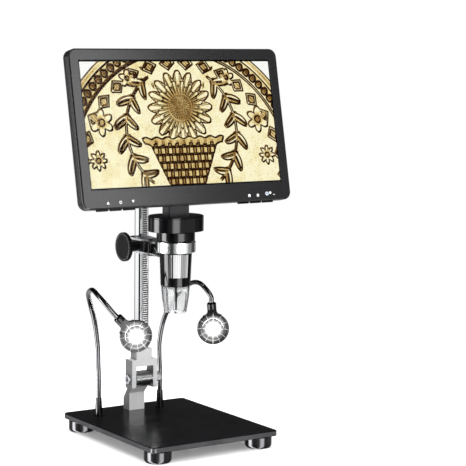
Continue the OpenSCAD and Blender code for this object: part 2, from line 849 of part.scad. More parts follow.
module barrel() {
    color(black_gloss) in_tube() difference() {
        rotate_extrude($fn = 96) polygon([
            [bore_r, barrel_z0], [barrel_r_bottom - 0.8, barrel_z0],
            [barrel_r_bottom, barrel_z0 + 0.8],
            [barrel_r_top, ring_z - 0.6], [barrel_r_top - 0.6, ring_z],
            [neck_r, ring_z], [neck_r, head_z + 2], [bore_r, head_z + 2]]);
        window_sector(window_z0 - 0.1, window_z1 + 0.1, window_t + 0.05, window_span + 0.5, 1);
    }
}

function barrel_r(z) = barrel_r_bottom
    + (barrel_r_top - barrel_r_bottom) * (z - barrel_z0 - 0.8) / (barrel_l - 1.4);

// Part of the barrel's skin, depth deep and proud of it by rise
module window_sector(z0, z1, depth, span, rise) {
    rotate([0, 0, -90 - barrel_turn - span / 2]) rotate_extrude(angle = span, $fn = 96)
        polygon([[barrel_r(z0) - depth, z0], [barrel_r(z0) + rise, z0],
                 [barrel_r(z1) + rise, z1], [barrel_r(z1) - depth, z1]]);
}

module barrel_window() {
    color(chrome) in_tube()
        window_sector(window_z0, window_z1, window_t, window_span, 0.15);
}

module head_shell() {
    wall_t = 2;
    color(black_gloss) in_tube() difference() {
        translate([0, 0, head_z]) linear_extrude(cap_z - head_z) stadium(head_r, head_span, $fn = 96);
        translate([0, 0, head_z + wall_t]) linear_extrude(40)
            stadium(head_r - wall_t, head_span, $fn = 96);
        cylinder(r = neck_r + run_gap, h = 400);
    }
}

module head_cap() {
    edge = 0.8;
    color(black_gloss) difference() {
        in_tube() translate([0, 0, cap_z]) {
            linear_extrude(2 - edge) stadium(head_r, head_span, $fn = 96);
            for (s = [-1, 1]) translate([s * head_span / 2, 0, 2 - edge])
                cylinder(r1 = head_r, r2 = head_r - edge, h = edge, $fn = 96);
            translate([0, 0, 2 - edge]) mirror([0, 0, 1]) translate([0, 0, -edge])
                chamfer_bar_x(2 * head_r, head_span, edge * 2, edge);
        }
        for (s = [-1, 1]) translate([s * 7, hinge_y, cap_z - 1]) cylinder(r = 1.55, h = 5);
    }
}

// Bar along X of length l and depth w whose edges on z = 0 have the chamfer c
module chamfer_bar_x(w, l, t, c) {
    rotate([0, 0, 90]) chamfer_bar(w, l, t, c);
}

module image_sensor() {
    color(board_green) in_tube() {
        translate([0, 0, head_z + 2]) cylinder(r = neck_r, h = 1.6);
        translate([-4, -4, head_z + 0.6]) cube([8, 8, 1.4]);
    }
}

module clear_tip() {
    mid_z = tip_z0 + tip_l * 0.55;
    mid_r = tip_r_mouth + (tip_r_top - tip_r_mouth) * 0.68;
    color("#e8f0f4", 0.4) in_tube() difference() {
        rotate_extrude($fn = 96) polygon([
            [tip_r_mouth - tip_wall, tip_z0], [tip_r_mouth - 0.4, tip_z0],
            [tip_r_mouth, tip_z0 + 0.4], [mid_r, mid_z], [tip_r_top, barrel_z0],
            [bore_r - run_gap, barrel_z0], [bore_r - run_gap, barrel_z0 + 3],
            [bore_r - tip_wall, barrel_z0 + 3], [bore_r - tip_wall, barrel_z0 - 0.8],
            [tip_r_top - tip_wall - 0.4, barrel_z0 - 2.2],
            [mid_r - tip_wall, mid_z]]);
        tip_cutout();
    }
}

// Access cut-out in the tip's front, with round corners
module tip_cutout() {
    z0 = tip_z0 + 1.2;
    z1 = barrel_z0 - 4.3;
    rotate([0, 0, -tip_cut_turn]) rotate([90, 0, 0]) linear_extrude(30)
        translate([0, (z0 + z1) / 2]) rounded_rect(tip_cut_w, z1 - z0, 4.2);
}

module lens_nozzle() {
    top = barrel_z0 + 1;
    color(black_satin) in_tube() rotate_extrude() polygon([
        [0, top], [5.2, top], [5.2, top - 1.4], [4, top - 3], [1.8, top - 8.6],
        [1.4, top - 8.6], [1.2, top - 8], [0, top - 8]]);
}

module led_ring() {
    z = barrel_z0 - 0.6;
    color(board_green) in_tube() {
        difference() {
            translate([0, 0, z]) cylinder(r = bore_r - tip_wall - 0.1, h = 1.6);
            translate([0, 0, z - 1]) cylinder(r = 5.25, h = 4);
        }
        for (i = [0 : 7]) rotate([0, 0, i * 45]) translate([7.9, 0, z - 0.8])
            cylinder(r = 1.2, h = 0.8);
    }
}

module stem() {
    c = 0.9;
    color(black_satin) difference() {
        union() {
            translate([0, hinge_y, head_z1]) linear_extrude(hinge_z - head_z1)
                polygon([[-stem_w / 2 + c, -stem_d / 2], [stem_w / 2 - c, -stem_d / 2],
                         [stem_w / 2, -stem_d / 2 + c], [stem_w / 2, stem_d / 2 - c],
                         [stem_w / 2 - c, stem_d / 2], [-stem_w / 2 + c, stem_d / 2],
                         [-stem_w / 2, stem_d / 2 - c], [-stem_w / 2, -stem_d / 2 + c]]);
            x_rod(-stem_w / 2, stem_w / 2, hinge_y, hinge_z, stem_d / 2);
        }
        x_rod(-stem_w, stem_w, hinge_y, hinge_z, hinge_d / 2 + run_gap);
        for (s = [-1, 1]) translate([s * 7, hinge_y, head_z1 - 1]) cylinder(r = 1.55, h = 12);
    }
}

module focus_ring() {
    c = 0.5;
    color(black_gloss) in_tube() rotate_extrude($fn = 96) polygon([
        [neck_r + 0.1, focus_z], [focus_r - c, focus_z], [focus_r, focus_z + c],
        [focus_r, focus_z + focus_h - c], [focus_r - c, focus_z + focus_h],
        [neck_r + 0.1, focus_z + focus_h]]);
}

module lens_cell() {
    color(black_satin) in_tube() difference() {
        translate([0, 0, cell_z0]) cylinder(r = bore_r - run_gap, h = cell_h);
        translate([0, 0, cell_z0 - 1]) cylinder(r = 6, h = cell_h + 2);
        translate([0, 0, cell_z0 + cell_h - 3]) cylinder(r = 9, h = 4);
        translate([0, 0, cell_z0 - 1]) cylinder(r = 8, h = 3.5);
    }
}

module cell_lenses() {
    color("#cfe3ee", 0.5) in_tube() {
        translate([0, 0, cell_z0 + cell_h - 3]) cylinder(r = 9, h = 2.4);
        translate([0, 0, cell_z0]) cylinder(r = 8, h = 2.5);
    }
}

// ------------------------------------------------------------------ screen

module screen_bezel() {
    color(black_satin) in_screen() difference() {
        translate([0, housing_v, -bezel_t])
            chamfered_slab(screen_w, screen_h, bezel_t, screen_r, screen_edge, both = false);
        translate([0, 0, -bezel_t / 2]) cube([picture_w + 2 * picture_border,
            picture_h + 2 * picture_border, bezel_t + 2], center = true);
        translate([0, 0, -lip - bezel_t]) linear_extrude(bezel_t)
            square([glass_w + 0.2, glass_h + 0.2], center = true);
        translate([0, housing_v, -front_wall - bezel_t]) linear_extrude(bezel_t)
            rounded_rect(screen_w - 2 * bottom_wall, screen_h - 2 * bottom_wall,
                         screen_r - bottom_wall);
        for (x0 = [left_buttons_x, right_buttons_x], i = [-1 : 1])
            translate([x0 + i * button_pitch, housing_bottom, -front_wall - bezel_t])
                linear_extrude(bezel_t)
                    square([button_w + 2 * move_gap, 4 * bottom_wall], center = true);
        indicator_hole(0.05);
    }
}

module indicator_hole(gap) {
    translate([indicator_x, indicator_v, -front_wall - 1]) cylinder(r = 1.3 + gap, h = 6);
}

module indicator_lens() {
    color("#2a6cff") in_screen() translate([indicator_x, indicator_v, -front_wall - 0.7]) {
        cylinder(r = 1.3, h = front_wall + 0.7);
        cylinder(r = 1.9, h = 0.7);
    }
}

module screen_glass() {
    color("#10141a", 0.5) in_screen() translate([0, 0, -lip - glass_t]) linear_extrude(glass_t)
        square([glass_w, glass_h], center = true);
}

module lcd_panel() {
    color("#3a3a30") in_screen() translate([0, 0, panel_z - panel_t]) linear_extrude(panel_t)
        square([glass_w, glass_h], center = true);
}

// Posts that the main board stands on
module board_posts(inset, z0, r) {
    for (sx = [-1, 1], sy = [-1, 1])
        translate([board_x + sx * (board_w / 2 - inset), bulge_v + sy * (board_h / 2 - inset), z0])
            cylinder(r = r, h = board_z - board_t - z0);
}

module main_board() {
    color(board_green) in_screen() translate([board_x, bulge_v, board_z - board_t]) {
        linear_extrude(board_t) square([board_w, board_h], center = true);
        translate([-6, 8, -chip_t / 2]) cube([18, 18, chip_t], center = true);
        translate([-board_w * 0.36, -board_h / 4, -0.6]) cube([10, 12, 1.2], center = true);
        translate([board_w * 0.23, -board_h / 4, -1.5]) cube([12, 9, 3], center = true);
    }
}

module battery() {
    color("#5b6068") in_screen() translate([battery_x, bulge_v - 2, bulge_inner_z])
        linear_extrude(battery_t) rounded_rect(battery_w, battery_h, 3);
}

module screen_back() {
    side_wall = wall;
    color(black_satin) in_screen() difference() {
        union() {
            difference() {
                union() {
                    translate([0, housing_v, -bezel_t]) mirror([0, 0, 1])
                        soft_slab(screen_w, screen_h, back_t, screen_r, back_edge);
                    translate([0, bulge_v, rear_z + 1]) mirror([0, 0, 1])
                        soft_slab(bulge_w, bulge_h, bulge_t + 1, 12, back_edge);
                }
                translate([0, housing_v, inner_rear_z]) linear_extrude(back_t)
                    rounded_rect(screen_w - 2 * side_wall, screen_h - 2 * side_wall,
                                 screen_r - side_wall);
                translate([0, bulge_v, bulge_inner_z]) linear_extrude(back_t + bulge_t)
                    rounded_rect(bulge_w - 2 * side_wall, bulge_h - 2 * side_wall, 9.8);
            }
            board_posts(4, bulge_inner_z - eps, 2.6);
        }
        // cooling slots, in two rows near the top of the raised box
        for (row = [0, 1], i = [-9 : 9])
            translate([i * 7, bulge_v + 27 - row * 14, bulge_z])
                cube([2, 9, 3 * wall], center = true);
        for (s = [-1, 1], v = [-1, 1])
            translate([s * bracket_screw_x, hinge_v + v * bracket_screw_v, rear_z - 1])
                cylinder(r = 1.25, h = wall + 3);
        // inlet and card slot in the right edge
        for (v = port_places) translate([screen_w / 2, v, port_z]) cube([8, 9.4, 3.6], center = true);
    }
}

module port_sockets() {
    color(steel) in_screen() for (v = port_places) translate([screen_w / 2 - 4.2, v, port_z])
        difference() {
            cube([6.4, 9.2, 3.4], center = true);
            translate([2.4, 0, 0]) cube([6.4, 8.4, 2.6], center = true);
        }
}

module button_boards() {
    color(board_green) in_screen() for (x0 = [left_buttons_x, right_buttons_x]) {
        translate([x0, board_v, -front_wall - 1 - switch_board_w / 2])
            cube([switch_board_l, board_t, switch_board_w], center = true);
        for (i = [-1 : 1])
            translate([x0 + i * button_pitch, board_v - (board_t + switch_h) / 2, button_z])
                cube([switch_w, switch_h, switch_d], center = true);
    }
}

// Push button number i of the row centred at x0
module push_button(x0, i) {
    color(black_gloss) in_screen() translate([x0 + i * button_pitch, 0, button_z]) {
        translate([-button_w / 2, housing_bottom - button_out, -button_t / 2])
            cube([button_w, button_out + bottom_wall + flange_gap + eps, button_t]);
        translate([-button_w / 2 - 1, flange_v, -button_t / 2])
            cube([button_w + 2, flange_t, button_t]);
    }
}

module screen_bracket() {
    ear_x = stem_w / 2 + move_gap;
    color(steel) in_screen() difference() {
        union() {
            translate([-ear_x - bracket_ear_t, hinge_v - bracket_h / 2, rear_z - bracket_t])
                cube([2 * (ear_x + bracket_ear_t), bracket_h, bracket_t]);
            for (s = [-1, 1]) translate([s * (ear_x + bracket_ear_t / 2), hinge_v, 0]) {
                translate([-bracket_ear_t / 2, -bracket_ear_r, hinge_w])
                    cube([bracket_ear_t, 2 * bracket_ear_r, rear_z - hinge_w]);
                translate([-bracket_ear_t / 2, 0, hinge_w]) rotate([0, 90, 0])
                    cylinder(r = bracket_ear_r, h = bracket_ear_t);
            }
        }
        translate([0, hinge_v, hinge_w]) rotate([0, 90, 0])
            cylinder(r = hinge_d / 2 + run_gap, h = 3 * ear_x, center = true);
        for (s = [-1, 1], v = [-1, 1])
            translate([s * bracket_screw_x, hinge_v + v * bracket_screw_v, rear_z - bracket_t - 1])
                cylinder(r = 1.55, h = 4);
    }
}

module hinge_pin() {
    ear_x = stem_w / 2 + move_gap + bracket_ear_t;
    color(chrome) {
        x_rod(-ear_x - 1.6, ear_x + 1.6, hinge_y, hinge_z, hinge_d / 2);
        for (s = [-1, 1]) translate([s * (ear_x + 0.9), hinge_y, hinge_z]) rotate([0, 90, 0])
            cylinder(r = hinge_d / 2 + 1.6, h = 1.6, center = true);
    }
}

// Screws of the bracket and of the rear housing
module screen_screws() {
    color(steel) in_screen() for (s = [-1, 1], v = [-1, 1])
        translate([s * bracket_screw_x, hinge_v + v * bracket_screw_v, rear_z - bracket_t])
            screw(2.4, 1.4, 1.2, bracket_t + wall - 0.3);
}

// ------------------------------------------------------------------ lamps

// Points of the smooth curve through p, with steps points to each stretch
function spline(p, steps) = concat(
    [for (i = [0 : len(p) - 2], k = [0 : steps - 1])
        let (a = p[max(i - 1, 0)], b = p[i], c = p[i + 1],
             d = p[min(i + 2, len(p) - 1)], t = k / steps)
        0.5 * (2 * b + (c - a) * t + (2 * a - 5 * b + 4 * c - d) * t * t
               + (3 * b - a - 3 * c + d) * t * t * t)],
    [p[len(p) - 1]]);

function unit(v) = v / norm(v);

// Ring of points round the path's point i, square to the path
function neck_ring(path, i, r) =
    let (n = len(path),
         along = unit(path[min(i + 1, n - 1)] - path[max(i - 1, 0)]),
         side = unit(cross(along, [1, 0, 0])),
         up = cross(side, along))
    [for (k = [0 : neck_sides - 1])
        let (a = k * 360 / neck_sides)
        path[i] + r * (cos(a) * side + sin(a) * up)];

// Tube of radius r along a path
module neck_tube(path, r) {
    n = len(path);
    m = neck_sides;
    points = [for (i = [0 : n - 1]) each neck_ring(path, i, r)];
    faces = concat(
        [[for (k = [m - 1 : -1 : 0]) k]],
        [for (i = [0 : n - 2], k = [0 : m - 1])
            [i * m + k, i * m + (k + 1) % m, (i + 1) * m + (k + 1) % m, (i + 1) * m + k]],
        [[for (k = [0 : m - 1]) (n - 1) * m + k]]);
    polyhedron(points, faces, convexity = 6);
}

function turn_x(v, a) = [v.x, v.y * cos(a) - v.z * sin(a), v.y * sin(a) + v.z * cos(a)];
function turn_z(v, a) = [v.x * cos(a) - v.y * sin(a), v.x * sin(a) + v.y * cos(a), v.z];

// Direction from a lamp's middle to its socket
function lamp_up(aim) = turn_z(turn_x([sin(aim.z), 0, cos(aim.z)], aim.y), aim.x);

// Centre line of a gooseneck, straight where it stands in its collar and its socket
function neck_path(route, lamp, aim) = spline(concat(
    [for (h = [-neck_in, 2]) [route[0].x, route[0].y, plate_top + collar_h + h]],
    route,
    [for (h = [6, 0.5, -9]) lamp + (lamp_socket_reach + h) * lamp_up(aim)]), neck_steps);

module in_stand() { translate([0, column_y, 0]) children(); }

module in_lamp(place, aim) {
    in_stand() translate(place) rotate([aim.y, 0, aim.x]) rotate([0, aim.z, 0]) children();
}

module lamp_shell() {
    r = lamp_r;
    difference() {
        union() {
            rotate([90, 0, 0]) rotate_extrude($fn = 72) polygon([
                [0, -lamp_back], [r * 0.4, -lamp_back], [r * 0.86, -lamp_back * 0.55],
                [r, -0.4], [r, lamp_rim_z - 1], [r - 0.9, lamp_rim_z],
                [r - lamp_rim_in + 0.5, lamp_rim_z], [r - lamp_rim_in, lamp_step_z],
                [r - lamp_step_in + 0.5, lamp_step_z], [r - lamp_step_in, lamp_seat_z],
                [r - lamp_seat_in, lamp_seat_z], [r - lamp_seat_in, lamp_floor_z],
                [0, lamp_floor_z]]);
            cylinder(r = lamp_socket_r, h = lamp_socket_reach - 1);
            translate([0, 0, lamp_socket_reach - 1])
                cylinder(r1 = lamp_socket_r, r2 = lamp_socket_r - 1, h = 1);
            rotate([90, 0, 0]) linear_extrude(2 * lamp_rim_z, center = true) lamp_fairing();
        }
        rotate([90, 0, 0]) translate([0, 0, lamp_floor_z]) cylinder(r = r - lamp_seat_in, h = 2 * r);
        rotate([90, 0, 0]) translate([0, 0, lamp_seat_z]) cylinder(r = r - lamp_step_in, h = 2 * r);
        rotate([90, 0, 0]) translate([0, 0, lamp_step_z]) cylinder(r = r - lamp_rim_in, h = 2 * r);
        rotate([90, 0, 0]) translate([0, 0, lamp_rim_z]) cylinder(r = r + lamp_flat, h = 2 * r);
        translate([0, 0, lamp_socket_reach - lamp_socket_depth])
            cylinder(r = goose_d / 2 + run_gap, h = 2 * lamp_socket_depth);
    }
}

// Flare between a lamp's disc and its socket
module lamp_fairing() {
    flare = 5;
    y0 = lamp_r - 2.5;
    difference() {
        translate([-lamp_socket_r - flare, y0]) square([2 * (lamp_socket_r + flare), flare]);
        for (s = [-1, 1]) translate([s * (lamp_socket_r + flare), y0 + flare]) circle(flare);
    }
}

module lamp_led() {
    lens_gap = 0.2;
    rotate([90, 0, 0]) translate([0, 0, lamp_floor_z])
        cylinder(r = lamp_r - lamp_seat_in - lens_gap, h = 1);
    rotate([90, 0, 0]) translate([0, 0, lamp_floor_z + 1]) for (i = [0 : 5])
        rotate([0, 0, i * 60]) translate([lamp_r * 0.36, 0, 0]) cylinder(r = 1.7, h = 0.7);
}

module lamp_lens() {
    lens_gap = 0.2;
    r = lamp_r - lamp_seat_in - lens_gap;
    rotate([90, 0, 0]) translate([0, 0, lamp_seat_z]) rotate_extrude($fn = 72) {
        square([r, 1]);
        translate([0, 1]) dome_section(r, 2.6);
    }
}

// ------------------------------------------------------------------ nodes

base_plate();
feet();
foot_screws();
foot_post();
post_screws();
neck_collars();
clevis();
pivot_bolt();
pivot_nut();
column();
rack();
column_cap();
carriage_sleeve();
carriage_body();
pinion_bush();
arm_plates();
arm_spacers();
carriage_screws();
clamp_ring();
barrel();
barrel_window();
head_shell();
head_cap();
image_sensor();
clear_tip();
lens_nozzle();
led_ring();
stem();
pinion();
focus_knob();
focus_ring();
lens_cell();
cell_lenses();
screen_bracket();
hinge_pin();
screen_screws();
screen_bezel();
screen_glass();
lcd_panel();
main_board();
battery();
screen_back();
button_boards();
port_sockets();
indicator_lens();
push_button(left_buttons_x, -1);  // button_up
push_button(left_buttons_x, 0);  // button_ok
push_button(left_buttons_x, 1);  // button_down
push_button(right_buttons_x, -1);  // button_home
push_button(right_buttons_x, 0);  // button_menu
push_button(right_buttons_x, 1);  // button_power
color(steel) in_stand() neck_tube(neck_path(neck_left_route, lamp_left, lamp_left_aim), goose_d / 2);  // neck_left
color(steel) in_stand() neck_tube(neck_path(neck_right_route, lamp_right, lamp_right_aim), goose_d / 2);  // neck_right
color(black_gloss) in_lamp(lamp_left, lamp_left_aim) lamp_shell();  // lamp_shell_left
color("white") in_lamp(lamp_left, lamp_left_aim) lamp_led();  // lamp_led_left
color("white", 0.5) in_lamp(lamp_left, lamp_left_aim) lamp_lens();  // lamp_lens_left
color(black_gloss) in_lamp(lamp_right, lamp_right_aim) lamp_shell();  // lamp_shell_right
color("white") in_lamp(lamp_right, lamp_right_aim) lamp_led();  // lamp_led_right
color("white", 0.5) in_lamp(lamp_right, lamp_right_aim) lamp_lens();  // lamp_lens_right
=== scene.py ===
"""Looks of the LCD digital microscope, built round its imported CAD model.

Metres, +Z up, the screen faces -Y, the origin on the floor under the middle of the base plate.
"""

import json
import math

import bmesh
import bpy
from mathutils import Matrix, Vector


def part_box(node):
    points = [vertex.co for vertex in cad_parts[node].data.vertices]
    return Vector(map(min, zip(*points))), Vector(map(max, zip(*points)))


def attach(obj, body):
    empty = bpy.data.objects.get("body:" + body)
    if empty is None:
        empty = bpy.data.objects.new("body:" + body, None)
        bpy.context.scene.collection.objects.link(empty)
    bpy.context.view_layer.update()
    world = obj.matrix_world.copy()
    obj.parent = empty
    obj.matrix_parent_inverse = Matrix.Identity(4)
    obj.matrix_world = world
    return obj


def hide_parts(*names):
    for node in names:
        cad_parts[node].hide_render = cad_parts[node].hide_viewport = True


MM = 0.001

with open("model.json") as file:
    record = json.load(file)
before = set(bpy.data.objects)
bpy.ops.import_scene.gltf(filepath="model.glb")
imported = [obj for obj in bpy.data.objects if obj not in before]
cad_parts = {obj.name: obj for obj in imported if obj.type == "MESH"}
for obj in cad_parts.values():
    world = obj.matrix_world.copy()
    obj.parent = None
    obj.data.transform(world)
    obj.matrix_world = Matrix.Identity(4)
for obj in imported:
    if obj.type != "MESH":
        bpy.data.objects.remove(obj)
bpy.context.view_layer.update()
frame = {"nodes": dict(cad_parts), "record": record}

# ------------------------------------------------------------------ sizes, as in the CAD source

SCREEN_LEAN = math.radians(11.93)
SCREEN_MIDDLE = Vector((0, -24.5, 330.2)) * MM
PICTURE_H = 125.28 * MM
PICTURE_HALF_W = 222.72 * MM / 2 / PICTURE_H
TUBE_AXIS = Vector((0, -11.5, 0)) * MM
TIP_MOULD_LINES = (0.083, 0.198, 0.40, 0.60, 0.80)  # places round the clear tip, as parts of a turn
WINDOW_TURN = 33.7  # the middle of the window's painted reflection, in degrees from the front
WINDOW_FIRST, WINDOW_SPAN = -30.0, 80.0  # its stripes, in degrees from that middle
GOOSE_R = 2.5 * MM
# from here to KNOB_RIM in millimetres
SOCKET_REACH = 28.0
COLLAR_TOP = 36.5
COLUMN_Y = 56.7
LAMPS = {  # a lamp's place, how it is aimed in degrees, and the route of its neck, from the column's foot
    "left": {"place": (-51.5, -76.2, 115.7), "aim": (-20, 4, -44),
             "route": [(-49, 4.5, 60), (-49.5, 4.5, 71), (-51, 3.5, 93.5), (-57, -0.5, 120),
                       (-66, -8, 139), (-76.5, -22.5, 153.5), (-83, -42.5, 160.5), (-84.5, -58, 156.5),
                       (-81.5, -66, 150)]},
    "right": {"place": (45, -70.7, 114), "aim": (-33, 5, -4),
              "route": [(28, 7.5, 60), (27, 7, 74.5), (26.5, 6, 90.5), (29, 2.5, 112.5),
                        (33.5, -7.5, 134.5), (36.5, -24.5, 150.5), (37, -41.5, 159), (37, -56.5, 160.5),
                        (38, -68.5, 155)]},
}

TOOTH_DEPTH = 1.6
KNOB_RIM = (12.0, 15.1)  # inner and outer radius of the knob's rim, where a highlight is painted

RACK_TIP_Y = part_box("rack")[0][1]
KNOB_MIDDLE = (Vector(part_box("focus_knob")[0]) + Vector(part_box("focus_knob")[1])) / 2
PIVOT_Z = (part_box("pivot_bolt")[0][2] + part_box("pivot_bolt")[1][2]) / 2 / MM
COLUMN_HALF = (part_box("column")[1][0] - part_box("column")[0][0]) / 2 / MM

SCREEN_FRAME = Matrix.Translation(SCREEN_MIDDLE) @ Matrix.Rotation(math.pi / 2 - SCREEN_LEAN, 4, "X")


def in_stand(point):
    """Point given from the foot of the column."""
    return Vector(point) + Vector((0, COLUMN_Y, 0))


def lamp_frame(lamp):
    """Lamp's own frame: the disc faces -Y, the socket points to +Z."""
    turn, down, roll = (math.radians(a) for a in lamp["aim"])
    aim = Matrix.Rotation(turn, 4, "Z") @ Matrix.Rotation(down, 4, "X") @ Matrix.Rotation(roll, 4, "Y")
    return Matrix.Translation(in_stand(lamp["place"]) * MM) @ aim


# ------------------------------------------------------------------ node graphs


class Signal:
    """A number in a node tree, so that a pattern can be written as a sum."""

    def __init__(self, tree, socket):
        self.tree, self.socket = tree, socket

    def op(self, operation, *others):
        node = self.tree.nodes.new("ShaderNodeMath")
        node.operation = operation
        for i, value in enumerate((self,) + others):
            if isinstance(value, Signal):
                self.tree.links.new(value.socket, node.inputs[i])
            else:
                node.inputs[i].default_value = value
        return Signal(self.tree, node.outputs[0])

    def __add__(self, other):
        return self.op("ADD", other)

    def __sub__(self, other):
        return self.op("SUBTRACT", other)

    def __mul__(self, other):
        return self.op("MULTIPLY", other)

    def __truediv__(self, other):
        return self.op("DIVIDE", other)

    def min(self, other):
        return self.op("MINIMUM", other)

    def max(self, other):
        return self.op("MAXIMUM", other)

    def abs(self):
        return self.op("ABSOLUTE")

    def cos(self):
        return self.op("COSINE")

    def inverse(self):
        """1 where the signal is 0 and 0 where it is 1."""
        return self * -1.0 + 1.0

    def cell(self):
        """Place inside its cell of length 1, from -0.5 to 0.5."""
        return self.op("FRACT") - 0.5

    def step(self, low, high):
        """0 below low, 1 above high, smooth between; low may be the larger one."""
        node = self.tree.nodes.new("ShaderNodeMapRange")
        node.interpolation_type = "SMOOTHSTEP"
        self.tree.links.new(self.socket, node.inputs["Value"])
        node.inputs["From Min"].default_value = min(low, high)
        node.inputs["From Max"].default_value = max(low, high)
        node.inputs["To Min"].default_value = 0.0 if low < high else 1.0
        node.inputs["To Max"].default_value = 1.0 if low < high else 0.0
        return Signal(self.tree, node.outputs["Result"])


def length(x, y):
    return (x * x + y * y).op("SQRT")


def largest(signals):
    """The largest of several signals at each point."""
    first, *others = signals
    for other in others:
        first = first.max(other)
    return first


class Graph:
    """A material under construction."""

    def __init__(self, name):
        self.material = bpy.data.materials.new(name)
        self.material.use_nodes = True
        self.tree = self.material.node_tree
        self.shader = self.tree.nodes["Principled BSDF"]
        self.coords = self.tree.nodes.new("ShaderNodeTexCoord").outputs["Object"]

    def link(self, source, target):
        self.tree.links.new(source.socket if isinstance(source, Signal) else source, target)

    def fill(self, node, inputs):
        """Sets or links a node's inputs by name, with _ for a space."""
        for name, value in inputs.items():
            socket = node.inputs[name.replace("_", " ")]
            if isinstance(value, (Signal, bpy.types.NodeSocket)):
                self.link(value, socket)
            else:
                socket.default_value = value

    def node(self, kind, output=0, **inputs):
        """New node with its inputs filled; returns one of its outputs."""
        node = self.tree.nodes.new("ShaderNode" + kind)
        self.fill(node, inputs)
        return node.outputs[output]

    def set(self, **inputs):
        self.fill(self.shader, inputs)

    def vector_op(self, operation, vector, constant, output=0):
        """Vector math on a vector and a constant; returns one of the node's outputs."""
        node = self.tree.nodes.new("ShaderNodeVectorMath")
        node.operation = operation
        self.link(vector, node.inputs[0])
        node.inputs[1].default_value = constant
        return node.outputs[output]

    def stretched(self, scale):
        """Object coordinates multiplied by scale, one factor an axis."""
        return self.vector_op("MULTIPLY", self.coords, scale)

    def noise(self, scale, detail=3.0, rough=0.5, vector=None):
        return self.node("TexNoise", "Fac", Vector=vector or self.coords, Scale=scale,
                         Detail=detail, Roughness=rough)

    def streaks(self, along, across, lengthwise):
        """Noise drawn out along an axis; the numbers are its scales across and along that axis."""
        scale = [across] * 3
        scale[along] = lengthwise
        return self.noise(1.0, 4, 0.65, self.stretched(scale))

    def ramp(self, factor, stops):
        """Colour ramp from (place, colour) stops."""
        node = self.tree.nodes.new("ShaderNodeValToRGB")
        self.link(factor, node.inputs[0])
        elements = node.color_ramp.elements
        while len(elements) < len(stops):
            elements.new(0.5)
        for element, (place, colour) in zip(elements, stops):
            element.position = place
            element.color = grey(colour) if isinstance(colour, (int, float)) else (*colour, 1)
        return node.outputs[0]

    def mix(self, factor, a, b):
        """Colour a where factor is 0 and b where it is 1."""
        node = self.tree.nodes.new("ShaderNodeMix")
        node.data_type = "RGBA"
        self.link(factor, node.inputs["Factor"])
        for socket, value in ((node.inputs[6], a), (node.inputs[7], b)):
            if isinstance(value, (tuple, float)):
                socket.default_value = grey(value) if isinstance(value, float) else (*value, 1)
            else:
                self.link(value, socket)
        return node.outputs[2]

    def axes(self, vector=None):
        """The three numbers of a vector, the object coordinates as a rule."""
        split = self.tree.nodes.new("ShaderNodeSeparateXYZ")
        self.link(vector or self.coords, split.inputs[0])
        return [Signal(self.tree, output) for output in split.outputs]

    def bump(self, height, distance):
        """Adds a bump of that real depth to the shader's normal."""
        self.set(Normal=self.node("Bump", Height=height, Distance=distance, Strength=1.0))

    def facing(self, axis):
        """How far the surface faces along an axis, either way."""
        return self.axes(self.tree.nodes.new("ShaderNodeTexCoord").outputs["Normal"])[axis].abs()

    def round_the_tube(self, front=1.0):
        """Angle round the camera tube's axis in radians, zero at +Y, or at -Y where front is -1."""
        x, y, _ = self.axes()
        return (x - TUBE_AXIS.x).op("ARCTAN2", (y - TUBE_AXIS.y) * front)


def grey(value):
    return (value, value, value, 1)


def tinted(colour, factor):
    return tuple(min(1.0, c * factor) for c in colour)


# ------------------------------------------------------------------ materials


def lacquer(name, colour, rough, peel=0.012, shine=0.22, edge=None):
    """Glossy plastic or paint with a faint orange peel, finger marks and uneven gloss."""
    g = Graph(name)
    marks = g.noise(60, 5, 0.6)
    paint = g.ramp(marks, [(0.3, tinted(colour, 0.8)), (0.7, tinted(colour, 1.25))])
    # Faces that don't face up or down take the edge colour: on the plate a lighter colour, a painted
    # reflection on its side faces.
    if edge:
        flat = g.facing(2).step(0.2, 0.7)
        paint = g.mix(flat, g.ramp(marks, [(0.3, tinted(edge, 0.9)), (0.7, tinted(edge, 1.1))]), paint)
    g.set(Base_Color=paint, Roughness=g.ramp(marks, [(0.35, rough * 0.7), (0.65, rough * 1.35)]),
          Specular_IOR_Level=shine, IOR=1.5)
    g.bump(g.noise(900, 2), peel * MM)
    return g.material


def grained(name, colour, rough, grain=0.012, shine=0.4):
    """Moulded plastic with a fine spark-eroded grain."""
    g = Graph(name)
    cloud = g.noise(25, 3)
    g.set(Base_Color=g.ramp(cloud, [(0.3, tinted(colour, 0.93)), (0.7, tinted(colour, 1.08))]),
          Roughness=g.ramp(g.noise(500, 2), [(0.3, rough * 0.96), (0.7, rough * 1.04)]),
          Specular_IOR_Level=shine, IOR=1.5)
    g.bump(g.noise(2600, 3, 0.6), grain * MM)
    return g.material


def anodised(name, colour, rough, metal):
    """Bead-blasted, dyed aluminium."""
    g = Graph(name)
    g.set(Base_Color=g.ramp(g.noise(90, 4), [(0.3, tinted(colour, 0.93)), (0.7, tinted(colour, 1.08))]),
          Roughness=g.ramp(g.noise(400, 4), [(0.3, rough * 0.93), (0.7, rough * 1.08)]), Metallic=metal)
    g.bump(g.noise(3500, 2), 0.003 * MM)
    return g.material


def brushed(name, colour, rough, along):
    """Metal brushed along an axis, 0, 1 or 2."""
    g = Graph(name)
    streaks = g.streaks(along, 1500.0, 18.0)
    g.set(Base_Color=g.ramp(streaks, [(0.3, tinted(colour, 0.86)), (0.7, colour)]),
          Roughness=g.ramp(streaks, [(0.3, rough * 0.8), (0.7, rough * 1.25)]), Metallic=1.0)
    g.bump(streaks, 0.006 * MM)
    return g.material


